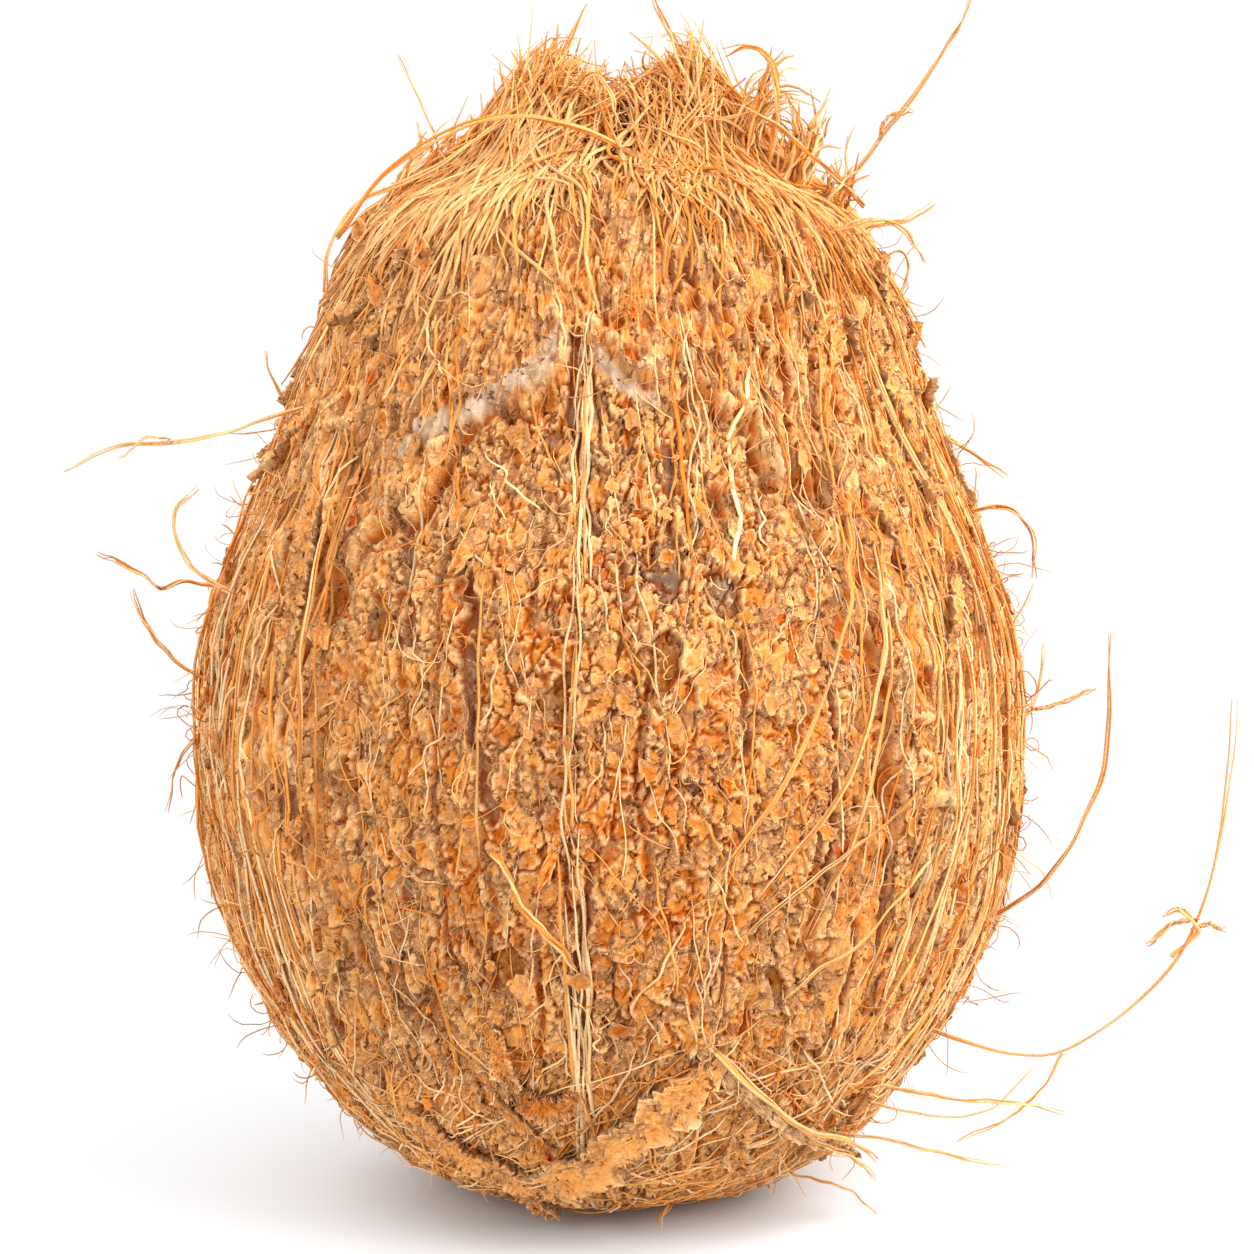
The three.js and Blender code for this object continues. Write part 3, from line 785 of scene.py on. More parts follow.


# Thick pale strands: width, then azimuth, height and lift at each stop
LAID_STRANDS = [
    (0.9, [(52, 131, 0.6), (58, 112, 1.2), (63, 92, 1.2), (64, 70, 1.2), (60, 48, 1.2), (54, 32, 0.4)]),
    (0.7, [(55, 128, 0.6), (62, 104, 1.6), (68, 84, 1.5), (70, 62, 1.2), (66, 40, 0.6)]),
    (0.7, [(40, 100, 0.4), (33, 84, 3.0), (24, 68, 2.6), (13, 52, 0.6)]),
    (0.6, [(44, 98, 0.4), (38, 80, 2.4), (31, 64, 2.4), (20, 50, 0.6)]),
    (0.6, [(44, 96, 0.4), (39, 78, 2.0), (34, 60, 2.0), (28, 44, 0.5)]),
    (0.6, [(52, 88, 0.5), (49, 70, 1.9), (44, 52, 1.6), (37, 34, 0.5)]),
    (0.6, [(58, 80, 0.5), (56, 62, 1.9), (50, 44, 1.6), (42, 28, 0.5)]),
    (0.6, [(-50, 108, 0.3), (-46, 92, 1.6), (-44, 74, 1.6), (-45, 56, 0.4)]),
    (0.6, [(-46, 104, 0.3), (-43, 88, 1.5), (-42, 70, 1.3), (-44, 50, 0.4)]),
    (0.8, [(-15, 57, 0.6), (-10, 50, 2.6), (-4, 42, 0.8)]),
    (0.5, [(-60, 96, 0.4), (-58, 80, 1.5), (-59, 60, 1.4), (-56, 40, 0.4)]),
    (0.6, [(70, 60, 0.6), (64, 44, 2.0), (55, 30, 2.0), (44, 20, 0.8)]),
    (0.5, [(50, 67, 0.5), (41, 61, 1.8), (31, 55, 1.8), (17, 44, 0.5)]),
    (0.5, [(58, 62, 0.5), (49, 54, 1.8), (38, 46, 1.8), (26, 36, 0.5)]),
    (0.9, [(13, 32, 0.8), (23, 25, 2.6), (37, 18, 3.2), (53, 14, 4.2), (66, 11, 7)]),
    (0.7, [(16, 30, 0.8), (26, 23, 2.4), (40, 16, 3.0), (56, 12, 4.6), (68, 9.5, 8)]),
    (0.6, [(110, 120, 0.5), (116, 96, 1.8), (122, 72, 1.8), (118, 48, 0.6)]),
    (0.6, [(150, 110, 0.5), (158, 86, 2.0), (166, 64, 1.8), (172, 40, 0.6)]),
    (0.6, [(-150, 116, 0.5), (-142, 92, 1.8), (-138, 68, 1.8), (-142, 44, 0.6)]),
    (0.6, [(-100, 118, 0.5), (-106, 94, 1.8), (-104, 66, 1.8), (-98, 40, 0.6)]),
]

# Stray fibres: points from a root in the husk out to the tip
STRAYS = [
    [(-36, -14, 111), (-48, -16, 107.5), (-57, -17, 105.3), (-65, -18, 104.5), (-72, -19, 101.3)],
    [(-50, -8, 84.5), (-57, -9, 85.6), (-61, -10, 85), (-64, -11, 87.5), (-68.7, -12, 90.3)],
    [(-53, -10, 72), (-58, -12, 75), (-62.5, -13, 80.7), (-64, -13, 85.1)],
    [(-49, -17, 84), (-56, -16, 89), (-58, -15, 95), (-55, -14, 99)],
    [(-20, -8, 136), (-24, -9, 148), (-26, -10, 152), (-28, -11, 156)],
    [(11, -4, 143), (10.4, -5, 153), (8, -6, 159), (5.1, -7, 165.6)],
    [(27, -6, 132), (32, -7, 139.5), (36, -8, 145), (40.7, -9, 151.1), (45, -10, 158), (48, -11, 164.2)],
    [(29, -2, 131), (37, -2, 134), (41, -1, 134.6), (44.2, 0, 136.6)],
    [(31, -6, 124), (38, -8, 130), (40, -9, 128), (38.5, -10, 124)],
    [(45, -8, 94), (53, -9, 96), (57, -9, 92), (57.5, -9, 86.3)],
    [(52, -6, 67), (60, -7, 68.5), (66.2, -8, 71)],
    [(48, -8, 38), (54.5, -10, 41), (59.3, -12, 45.5), (64.2, -13, 54), (67, -13, 64), (67.6, -12, 79)],
    [(42, -14, 26), (48.5, -18, 24), (54, -20, 22.8), (60.7, -21, 23.5), (69, -22, 29.7),
     (76, -22, 38), (80, -21, 47), (82.1, -20, 58), (83.1, -19, 71.3)],
    [(31, -21, 20), (43, -26, 19), (52, -27, 18.5), (60, -27, 16.8)],
    [(25, -21, 13), (37, -28, 13.5), (45, -30, 12), (52.4, -30, 10.4)],
    [(32, -18, 17), (43, -21, 15), (51, -21, 16), (57, -19, 21)],
    [(19, -13, 6), (30, -19, 5), (36, -22, 1.8)],
    [(6, -13, 4.5), (8, -22, 3.2), (6.2, -27, 1.4)],
    [(-57, -17, 105.3), (-61, -19, 105.8), (-64.5, -21, 103.4)],
    [(60.7, -21, 23.5), (55, -25, 17), (46, -27, 13)],
    [(36, -8, 145), (37, -10, 148), (40, -11, 149)],
    [(75, -22, 36.8), (78, -23, 40.5), (76, -23, 43.6), (73.5, -22, 42.4)],
    [(78.4, -22, 42.2), (75, -21, 41), (71.5, -22, 38.6)],
    [(77.5, -22, 40.5), (79.6, -23, 41.6), (81.6, -23, 40.8)],
]

# Strands draped over the tuft: width, then points
DRAPED = [
    (0.8, [(-36, -16, 132), (-29, -18, 141), (-17, -17, 147.5), (-6, -16, 147), (4, -17, 142),
           (11, -20, 136)]),
    (0.9, [(-33, -20, 121), (-25, -23, 130), (-17, -21, 137), (-8, -18, 142.5), (1, -16, 143)]),
    (0.7, [(-38, -10, 125), (-37, -13, 131), (-33, -13, 136.5), (-24, -13, 141), (-13, -11, 148)]),
    (0.7, [(34, -8, 136), (27, -13, 143), (19, -13, 148.5), (16, -12, 150)]),
    (0.9, [(21, -9, 139), (22, -11, 148), (21.5, -11, 155), (18.5, -10, 157.4), (15, -9, 156.5)]),
    (0.6, [(-6, -10, 150), (-2, -12, 153.5), (0, -13, 151), (1.5, -14, 146)]),
    (0.7, [(29, -16, 132), (34, -15, 134.5), (39, -13, 133), (42, -12, 129)]),
]

# Strays of the back half: azimuth, height, climb, twist and reach
BACK_STRAYS = [
    (104, 60, 12, 8, 12), (118, 104, -10, -9, 10), (131, 36, 10, 12, 14), (150, 84, 16, -6, 11),
    (163, 52, -9, 10, 9), (185, 112, 8, 12, 12), (204, 70, -14, -10, 13), (221, 40, 9, -8, 10),
    (238, 98, 14, 9, 12), (254, 64, -12, 6, 9),
]


PATH_POINTS = 40
THREADS_EACH = 3
STRAY_WIDTH = (0.4, 0.7)
STRAY_ROOT = -4


def by_stops(stops, count):
    """Path through stops given as azimuth, height and lift."""
    route = spline(stops, count)
    return over_husk(route[:, 0], at_height(route[:, 1]), route[:, 2])


def bundled(paths, widths, threads, seed):
    """Each path as a few threads that wind round each other, with their widths."""
    draw = np.random.default_rng(seed)
    count, steps = paths.shape[:2]
    across, up = path_frame(paths)
    t = np.linspace(0, 1, steps)
    parts = []
    for k in range(threads):
        turn = 2 * np.pi * (k / threads + draw.uniform(0.5, 1.6, (count, 1)) * t + draw.random((count, 1)))
        apart = 0.36 * widths[:, None] * (1 + 1.2 * draw.random((count, 1)) * smooth(0.7, 1, t))
        ring = across * np.cos(turn)[..., None] + up * np.sin(turn)[..., None]
        parts.append(paths + apart[..., None] * ring)
    thin = np.concatenate([widths * draw.uniform(0.45, 0.68, count) for _ in range(threads)])
    return np.concatenate(parts), thin


def placed_fibres(seed):
    """Strands and strays given in the lists, each a bundle of threads, a little uneven in width and course.
    """
    draw = np.random.default_rng(seed)
    rows = [(width, by_stops(stops, PATH_POINTS)) for width, stops in LAID_STRANDS]
    rows += [(draw.uniform(*STRAY_WIDTH), spline(route, PATH_POINTS)) for route in STRAYS]
    rows += [(width, spline(route, PATH_POINTS)) for width, route in DRAPED]
    for azimuth, height, climb, twist, reach in BACK_STRAYS:
        stops = [(azimuth, height, STRAY_ROOT)]
        for turned, climbed, out in ((0.3, 0.2, 0.4), (0.7, 0.6, 0.8), (1, 1, 1)):
            stops.append((azimuth + turned * twist, height + climbed * climb, out * reach))
        rows.append((draw.uniform(*STRAY_WIDTH), by_stops(stops, PATH_POINTS)))
    widths, paths = (np.array(column) for column in zip(*rows))
    for axis in range(3):
        paths[:, :, axis] += 0.3 * waves(len(paths), PATH_POINTS, 3, seed + 3 + axis)
    paths, widths = bundled(paths, widths, THREADS_EACH, seed + 7)
    paths[:, :, 2] = np.maximum(paths[:, :, 2], 0.5)
    n = len(paths)
    colour = mixed([PEACH, GOLD, TAN], [4, 3, 1], n, 0.1, draw)
    shade = streaked(colour, 0.14, 6, PATH_POINTS, seed + 2)
    return tubes(paths, taper(n, PATH_POINTS, widths, 0.9, 0.3), shade, 5, 0.85)


# Fine curly hairs

HAIR_STEPS = 9
HAIR_LEAN = (0.1, 1.2)
HAIR_COLOURS = ([GOLD, PEACH, TAN], [4, 3, 2])


def hairs(count, seed, length, width, low, high):
    """Thin hairs that leave the husk and curl in any direction."""
    draw = np.random.default_rng(seed)
    azimuth, along = scatter(count, draw, low, high)
    root = over_husk(azimuth, along, 0.3)
    out = over_husk(azimuth, along, 1.3) - root
    up = unit(over_husk(azimuth, along + 0.5, 0.3) - root)
    across = np.cross(up, out)
    turn = draw.normal(0, 0.9, (count, 1)) + np.pi * draw.integers(0, 2, (count, 1))
    way = np.cos(turn) * up + np.sin(turn) * across + draw.uniform(*HAIR_LEAN, (count, 1)) * out
    way = unit(way)
    axis = unit(draw.normal(0, 1, (count, 3)))
    long = draw.uniform(*length, (count, 1))
    bend = draw.normal(0, 1.0, (count, 1)) * 5.5 / HAIR_STEPS
    at, path = root, [root]
    for _ in range(HAIR_STEPS - 1):
        at = at + way * long / HAIR_STEPS
        path.append(at)
        kink = draw.normal(0, 0.16, (count, 3))
        way = unit(way + bend * np.cross(axis, way) + kink)
    paths = np.stack(path, axis=1)
    paths[:, :, 2] = np.maximum(paths[:, :, 2], 0.3)
    colour = mixed(*HAIR_COLOURS, count, 0.16, draw)
    shade = np.repeat(colour[:, None], HAIR_STEPS, axis=1)
    return tubes(paths, taper(count, HAIR_STEPS, draw.uniform(*width, count), 0.8, 0.35), shade, 3)


# Tuft

TUFT_STEPS = 16
PEAK_SPREAD = 4.4
# Reach of the combed fibres from the crown, more of it to the sides, and the most that some add
COMB_REACH = (20, 35)
COMB_ASIDE = 12
COMB_LONGER = 18
COMBED_TOP = 162
WISP_TOP = 163
# Colours of the tuft, and how often each is drawn
PALE_TUFT = ([PEACH, GOLD], [5, 2])
WARM_TUFT = ([PEACH, GOLD, TAN], [5, 4, 1])
# Peaks of the two locks: x, y, height over the crown and spread
LEFT_PEAK = (-6.5, -4.0, 8.0, 7.5)
RIGHT_PEAK = (9.0, -3.0, 7.0, 8.5)


def tuft_depth(x, y):
    """Thickness of the combed tuft over a point of the crown."""
    depth = 0.9
    for px, py, top, spread in (LEFT_PEAK, RIGHT_PEAK):
        depth = depth + top * bump(x, px, spread) * bump(y, py, spread)
    return depth


def combed(peak, middle, spread, rise, curl, count, seed, colours):
    """Fibres combed from a peak down over the cap, with frizzy upper ends and loose lower ends."""
    draw = np.random.default_rng(seed)
    steps = TUFT_STEPS
    t = np.linspace(0, 1, steps)
    azimuth = np.radians(middle + spread * draw.uniform(-1, 1, count))
    aside = smooth(0, 60, np.degrees(np.arccos(np.abs(np.cos(azimuth)))))
    reach = draw.uniform(*COMB_REACH, count) + COMB_ASIDE * aside + COMB_LONGER * draw.random(count) ** 3
    low = np.stack([reach * np.sin(azimuth), -reach * np.cos(azimuth)], axis=1)
    high = np.array(peak[:2]) + draw.normal(0, PEAK_SPREAD, (count, 2))
    first = 0.4 * draw.random(count)[:, None] ** 1.5
    last = np.minimum(first + draw.uniform(0.45, 1.0, count)[:, None], 1.1)
    part = first + (last - first) * t
    shared = 5 * lattice(np.degrees(azimuth), 0.3, 14, 4, seed + 4)[:, None]
    swirl = (shared + draw.normal(0, 1.8, (count, 1))) * np.sin(np.pi * part)
    swirl = swirl + curl * waves(count, steps, 1.5, seed + 1)
    flat_x, flat_y = (low[:, k:k + 1] + (high - low)[:, k:k + 1] * part for k in (0, 1))
    flat_x = flat_x + swirl * np.cos(azimuth)[:, None]
    flat_y = flat_y + swirl * np.sin(azimuth)[:, None]
    turned = np.degrees(np.arctan2(flat_x, -flat_y))
    along = SIDE - np.hypot(flat_x, flat_y)
    ground = over_husk(turned, along, 0.8)
    depth = draw.uniform(0, 1, (count, 1)) ** 1.4
    frizz = draw.uniform(-0.5, 1, (count, 1)).clip(0) ** 1.6 * smooth(0.75, 1, last)
    lift = 0.7 + tuft_depth(ground[:, :, 0], ground[:, :, 1]) * (1 - depth)
    lift = lift + 0.4 * waves(count, steps, 2.0, seed + 2)
    lift = lift + frizz * rise * t ** 3 + 2.5 * draw.random((count, 1)) ** 3 * (1 - t) ** 4
    lift = lift - 1.8 * (draw.random((count, 1)) < 0.75) * (1 - smooth(0, 0.3, t))
    paths = over_husk(turned, along, lift)
    paths[:, :, 2] = np.minimum(paths[:, :, 2], COMBED_TOP)
    # Painted shade: fibres that lie deeper in the tuft are browner and darker.
    colour = blend(mixed(*colours, count, 0.1, draw), TAN, 0.6 * depth[:, 0])
    colour = colour * (1.06 - 0.2 * depth)
    shade = streaked(colour, 0.1, 4, steps, seed + 3)
    return tubes(paths, taper(count, steps, draw.uniform(0.26, 0.72, count), 0.5, 0.3), shade, 3, 0.85)


# Wisps of the tuft: half width at the root and at the tip, then points from the lock up to the tip
WISPS = [
    (3.6, 0.8, [(-21, -11, 136), (-16, -9, 145), (-10.5, -7, 152.5), (-8, -6, 158.5)]),
    (3.0, 0.7, [(-11, -11, 141), (-8.6, -9, 148), (-6, -7, 154), (-4.4, -6, 159)]),
    (3.2, 1.0, [(-25, -9, 134), (-20, -8, 142), (-16.5, -7, 147), (-13.5, -6, 150)]),
    (2.6, 0.9, [(-5, -11, 141), (-3.2, -9, 146), (-1.6, -8, 150), (-0.4, -7, 154)]),
    (3.0, 1.0, [(-15, -11, 140), (-12, -9, 146), (-10, -7, 150), (-10.5, -6, 154)]),
    (3.2, 1.2, [(-31, -8, 131), (-27, -8, 138.5), (-22, -7, 143.5), (-18, -6, 145.5)]),
    (2.8, 0.9, [(5, -11, 140), (5, -9, 147), (3.6, -8, 151), (2.2, -7, 153.5)]),
    (3.0, 0.8, [(9, -11, 141), (9.6, -9, 148), (9, -7, 153.5), (7, -6, 157.5)]),
    (3.2, 0.7, [(13, -11, 141), (12, -9, 147.5), (10.6, -7, 153), (10.8, -6, 158.5)]),
    (3.0, 0.9, [(17, -11, 139), (18.4, -9, 146.5), (20.6, -8, 151.5), (22.8, -8, 152.6),
                (24.6, -8, 150.5)]),
    (3.0, 1.2, [(23, -10, 137), (25.5, -9, 142.5), (26, -8, 146.5), (24.6, -7, 149.5)]),
    (3.0, 1.3, [(28, -9, 132), (30, -8, 137.5), (31, -7, 140.5), (32, -6, 142)]),
    (2.8, 1.0, [(8, -13, 139), (10, -12, 145), (13, -10, 149.5), (15, -9, 153)]),
]


def wisps(each, seed, colours):
    """Fibres gathered along each wisp, front and back, that close to its tip and end loosely."""
    draw = np.random.default_rng(seed)
    steps = TUFT_STEPS
    t = np.linspace(0, 1, steps)
    paths = []
    for root, tip, points in WISPS:
        for behind in (False, True):
            spine = np.array(points, float)
            if behind:
                spine = spine * (0.92, -1, 1) + (0, 4, -1.5)
            spine = spline(spine, ROUTE_POINTS)
            first = 0.45 * draw.random((each, 1)) ** 1.3
            part = first + (draw.uniform(0.6, 1.0, (each, 1)) - first) * t
            turn = draw.uniform(0, 2 * np.pi, (each, 1)) + draw.normal(0, 0.9, (each, 1)) * part
            apart = np.sqrt(draw.random((each, 1))) * (root + (tip - root) * part)
            stops = np.linspace(0, 1, ROUTE_POINTS)
            at = np.stack([np.interp(part, stops, spine[:, k]) for k in range(3)], axis=2)
            at = at + apart[..., None] * np.stack([np.cos(turn), np.sin(turn), 0 * turn], axis=2)
            paths.append(at + 2.3 * draw.normal(0, 1, (each, 1, 3)) * t[:, None] ** 3)
    paths = np.concatenate(paths)
    count = len(paths)
    for axis in range(3):
        paths[:, :, axis] += 0.9 * waves(count, steps, 1.2, seed + 1 + axis)
    paths[:, :, 2] = np.minimum(paths[:, :, 2], WISP_TOP)
    colour = mixed(*colours, count, 0.12, draw)
    shade = streaked(colour, 0.1, 4, steps, seed + 4)
    return tubes(paths, taper(count, steps, draw.uniform(0.26, 0.62, count), 0.6, 0.35), shade, 4, 0.85)


# Torn husk strips: width, curl, colour, then azimuth, height and lift at each stop
STRIPS = [
    (8.5, 0.5, GOLD, [(-21, 7.5, 0.8), (-10, 11, 2.2), (2, 18, 2.6), (12, 24, 2.2), (18, 30, 0.8)]),
    (5.5, 0.5, GOLD, [(-40, 18, 0.8), (-30, 13.5, 1.8), (-20, 10, 1.6), (-12, 6.5, 1.8)]),
    (2.8, 0.4, STRAW, [(12, 31, 0.6), (22, 24, 1.8), (36, 17, 2.4), (52, 13, 3.2), (62, 11, 5.0)]),
    (3.0, 0.6, GOLD, [(-18, 35, 0.6), (-16, 29, 2.0), (-15, 22, 1.2)]),
    (4.6, 0.6, TAN, [(-16, 24, 0.8), (-10, 22, 1.8), (-5, 23, 1.0)]),
    (3.6, 0.7, GOLD, [(-24, 6, 0.4), (-20, 4, 1.6), (-17, 2.4, 2.2)]),
    (3.6, 0.7, GOLD, [(28, 24, 0.4), (24, 16, 1.4), (30, 10, 1.8)]),
    (4.6, 0.6, GOLD, [(-53, 100, 0.6), (-49, 93, 1.8), (-48, 84, 1.2), (-49, 76, 0.6)]),
    (4.2, 0.6, GOLD, [(41, 108, 0.6), (46, 99, 1.8), (48, 90, 1.6), (47, 80, 0.6)]),
    (3.8, 0.6, GOLD, [(40, 78, 0.6), (44, 70, 1.6), (46, 60, 1.4), (44, 52, 0.6)]),
]


STRIP_POINTS, STRIP_WIDE = 80, 23
FLAP_POINTS, FLAP_WIDE = 22, 9
FLAP_SQUASH = 0.6


def wrinkled(count, steps, wide, draw):
    """Uneven fields over strips, from broad swells to small bumps, about -1 to 1."""
    total = np.zeros((count, steps, wide))
    for share, part in ((0, 0.35), (1 / 15, 0.9), (1 / 7, 1.3)):
        window = round(share * wide)
        for k in range(count):
            field = softened(draw.normal(0, 1, (steps, wide)), window)
            total[k] += part * field / (field.std() * (1 + 2 * window ** 0.5)) if window else part * field
    return total


def flaps(paths, widths, curls, colour, wide, draw):
    """Ragged husk flaps along paths: serrated edges, a bumpy top and a thin rim; edges and bump tops paled
    as painted highlight, dips and underside darkened as painted shade.
    """
    count, steps = paths.shape[:2]
    across, up = path_frame(paths, FLAP_SQUASH)
    t = np.linspace(0, 1, steps)
    form = np.minimum(1, np.minimum(0.45 + 4 * t, 0.25 + 3 * (1 - t)))
    share = np.linspace(-1, 1, wide)
    sides = []
    for _ in (0, 1):
        lobes = 0.26 * waves(count, steps, 3, draw.integers(9999))
        lobes = lobes + 0.16 * waves(count, steps, 7, draw.integers(9999))
        sides.append(np.clip(0.85 + lobes + 0.12 * draw.normal(0, 1, (count, steps)), 0.25, 1.5))
    edge = np.where(share[None, None] < 0, sides[0][:, :, None], sides[1][:, :, None])
    half = 0.5 * np.asarray(widths)[:, None, None] * form[None, :, None]
    bumps = wrinkled(count, steps, wide, draw)
    offset = half * share * edge
    lift = np.asarray(curls)[:, None, None] * share ** 2 * half * 0.5 + 0.36 * bumps
    thick = 0.9 * (1 - share ** 4) + 0.22
    top = paths[:, :, None] + across[:, :, None] * offset[..., None] + up[:, :, None] * lift[..., None]
    low = top - up[:, :, None] * thick[None, None, :, None]
    verts = np.concatenate([top.reshape(count, -1, 3), low.reshape(count, -1, 3)], axis=1)
    m = steps * wide
    grid = np.arange(m).reshape(steps, wide)
    faces = [grid_faces(grid.T)]
    faces.append(m + faces[0][:, ::-1])
    rim = np.concatenate([grid[0], grid[1:, -1], grid[-1, -2::-1], grid[-2:0:-1, 0]])
    after = np.roll(rim, -1)
    faces += [np.stack(f, axis=1) for f in ((after, rim, m + rim), (after, m + rim, m + after))]
    # Painted highlight on the edges and bump tops, painted shade in the dips.
    pale = np.clip(np.abs(share)[None, None] ** 6 * 0.7 + 0.5 * smooth(0.5, 1.6, bumps), 0, 0.9)
    shade = blend(colour[:, None, None] * (1 + 0.08 * bumps)[..., None], STRAW, pale)
    shade = blend(shade, RUST, 0.9 * smooth(0.3, 1.3, -bumps)).reshape(count, -1, 3)
    # Painted shade: the underside is darker.
    shade = np.concatenate([shade, 0.6 * shade], axis=1)
    local = np.stack(np.meshgrid(np.linspace(0, 1, wide), t), axis=2).reshape(-1, 2)
    local = np.concatenate([local * (0.5, 1), local * (0.5, 1) + (0.5, 0)])
    return verts, np.concatenate(faces), np.clip(shade, 0, 1), cells(count, local[None])


def torn_strips(seed):
    """The listed strips."""
    draw = np.random.default_rng(seed)
    widths, curls, colours, stops = zip(*STRIPS)
    paths = np.array([by_stops(route, STRIP_POINTS) for route in stops])
    return flaps(paths, widths, curls, np.array(colours), STRIP_WIDE, draw)


def husk_flaps(count, shaggy, seed):
    """Small flaps by rule: some lift off the flanks, foot and back, the shaggy ones off the cap."""
    draw = np.random.default_rng(seed)
    t = np.linspace(0, 1, FLAP_POINTS)
    paths = []
    azimuth, along = scatter(count * 2, draw, 8, 118)
    keep = panel(azimuth, height_at(along)) < draw.uniform(0.2, 1.1, count * 2)
    for a, s in list(zip(azimuth[keep], along[keep]))[:count]:
        end = np.clip(s + draw.uniform(5, 13) * draw.choice([-1, 1]), 2, SIDE - 30)
        turned = a + draw.normal(0, 5) * t
        paths.append(over_husk(turned, s + (end - s) * t, 0.9 + draw.uniform(0.3, 1.6) * t ** 1.6))
    for k in range(shaggy):
        a = 38 + 284 * (k + draw.random()) / shaggy
        where = at_height(draw.uniform(100, 130)) + draw.uniform(4, 9) * draw.choice([-1, 1]) * t
        paths.append(over_husk(a + draw.normal(0, 6) * t, where, 0.7 + draw.uniform(0.8, 3.4) * t ** 1.4))
    n = len(paths)
    colour = mixed([TAN, GOLD], [2, 3], n, 0.1, draw)
    widths, curls = draw.uniform(1.4, 4.0, n), draw.uniform(-0.4, 0.8, n)
    return flaps(np.array(paths), widths, curls, colour, FLAP_WIDE, draw)


# Materials

# Node textures: scales in cells to a metre, pushes and depths in metres
PUSH_SCALE, CRACK_SCALE, CRACKED_SCALE, PIT_SCALE = 1100, 470, 260, 720
STREAK_SCALE, SPECK_SCALE = 2600, 4200
PUSH, PUSH_MORE = 0.0016, 0.0014
PIT_SHARE = 0.4
BUMP_STRENGTH, BUMP_DEPTH = 0.8, 0.0005


def feed(node, inputs):
    """Sets or links the inputs of a node."""
    for label, value in inputs.items():
        if isinstance(value, bpy.types.NodeSocket):
            node.id_data.links.new(value, node.inputs[label])
        else:
            node.inputs[label].default_value = value


def add_node(tree, kind, inputs, **settings):
    """Adds a node with its settings and inputs, and gives its outputs."""
    node = tree.nodes.new("ShaderNode" + kind)
    for label, value in settings.items():
        setattr(node, label, value)
    feed(node, inputs)
    return node.outputs


def ramp(tree, value, low, high, start=0.0, end=1.0):
    """Node that turns a value between low and high smoothly into one between start and end."""
    inputs = {"Value": value, "From Min": low, "From Max": high, "To Min": start, "To Max": end}
    return add_node(tree, "MapRange", inputs, interpolation_type="SMOOTHSTEP")["Result"]


def husk_material(name, rough, shine, crumbs, grain, mottle):
    """Dry plant fibre: the mesh's own tint and a long grain, with fine cracks and pits darkened as painted
    shade and plate edges paled as painted highlight, all also in the bump.
    """
    material = bpy.data.materials.new(name)
    material.use_nodes = True
    tree = material.node_tree
    tint = add_node(tree, "Attribute", {}, attribute_name="tint")["Color"]
    place = add_node(tree, "TexCoord", {})["Object"]

    def math_node(kind, *values):
        return add_node(tree, "Math", dict(enumerate(values)), operation=kind)[0]

    def vector_node(kind, *values):
        return add_node(tree, "VectorMath", dict(enumerate(values)), operation=kind)[0]

    def noise(vector, scale, detail):
        return add_node(tree, "TexNoise", {"Vector": vector, "Scale": scale, "Detail": detail})

    def toward(colour, target, share):
        inputs = {"Factor": share, 6: colour, 7: (*target, 1)}
        return add_node(tree, "Mix", inputs, data_type="RGBA")[2]

    # Places pushed about, so that edges turn lobed
    push = vector_node("SUBTRACT", noise(place, PUSH_SCALE, 2)["Color"], (0.5, 0.5, 0.5))
    moved = vector_node("ADD", place, vector_node("MULTIPLY", push, (PUSH,) * 3))
    more = vector_node("ADD", moved, vector_node("MULTIPLY", push, (PUSH_MORE,) * 3))
    tall = vector_node("MULTIPLY", moved, (1, 1, 0.6))
    bent = vector_node("MULTIPLY", more, (1, 1, 0.7))

    edge = add_node(tree, "TexVoronoi", {"Vector": tall, "Scale": CRACK_SCALE}, feature="DISTANCE_TO_EDGE")
    gap = edge["Distance"]
    shown = ramp(tree, noise(place, CRACKED_SCALE, 2)["Fac"], 0.4, 0.6, 0.0, crumbs)
    crack = math_node("MULTIPLY", ramp(tree, gap, 0.0, 0.15, 1.0, 0.0), shown)
    rim = math_node("MULTIPLY", ramp(tree, gap, 0.12, 0.26, 1.0, 0.0), shown)

    dots = add_node(tree, "TexVoronoi", {"Vector": bent, "Scale": PIT_SCALE})
    split = add_node(tree, "SeparateColor", {"Color": dots["Color"]})
    chosen = math_node("LESS_THAN", split["Red"], PIT_SHARE)
    pit = math_node("MULTIPLY", ramp(tree, dots["Distance"], 0.16, 0.36, crumbs, 0.0), chosen)

    streak = noise(vector_node("MULTIPLY", moved, (1, 1, 0.14)), STREAK_SCALE, 3)["Fac"]
    speck = noise(place, SPECK_SCALE, 3)["Fac"]
    light = math_node("ADD", ramp(tree, streak, 0.3, 0.7, -mottle, mottle),
                      ramp(tree, speck, 0.3, 0.7, 1 - mottle, 1 + mottle))
    scaled = add_node(tree, "VectorMath", {0: tint, "Scale": light}, operation="SCALE")["Vector"]
    # Painted highlight on the plate edges, painted shade in the cracks and pits.
    colour = toward(scaled, STRAW, math_node("MULTIPLY", rim, 0.45))
    colour = toward(colour, 0.8 * BROWN, math_node("MULTIPLY", crack, 0.55))
    colour = toward(colour, 0.5 * BROWN, math_node("MULTIPLY", pit, 0.85))

    height = math_node("MULTIPLY_ADD", streak, grain, math_node("MULTIPLY", speck, 0.6 * grain))
    height = math_node("MULTIPLY_ADD", rim, 0.5, height)
    height = math_node("SUBTRACT", height, math_node("ADD", math_node("MULTIPLY", crack, 1.1), pit))
    relief = add_node(tree, "Bump", {"Strength": BUMP_STRENGTH, "Distance": BUMP_DEPTH, "Height": height})
    feed(tree.nodes["Principled BSDF"], {"Base Color": colour, "Roughness": rough,
                                         "Specular IOR Level": shine, "Normal": relief["Normal"]})
    return material


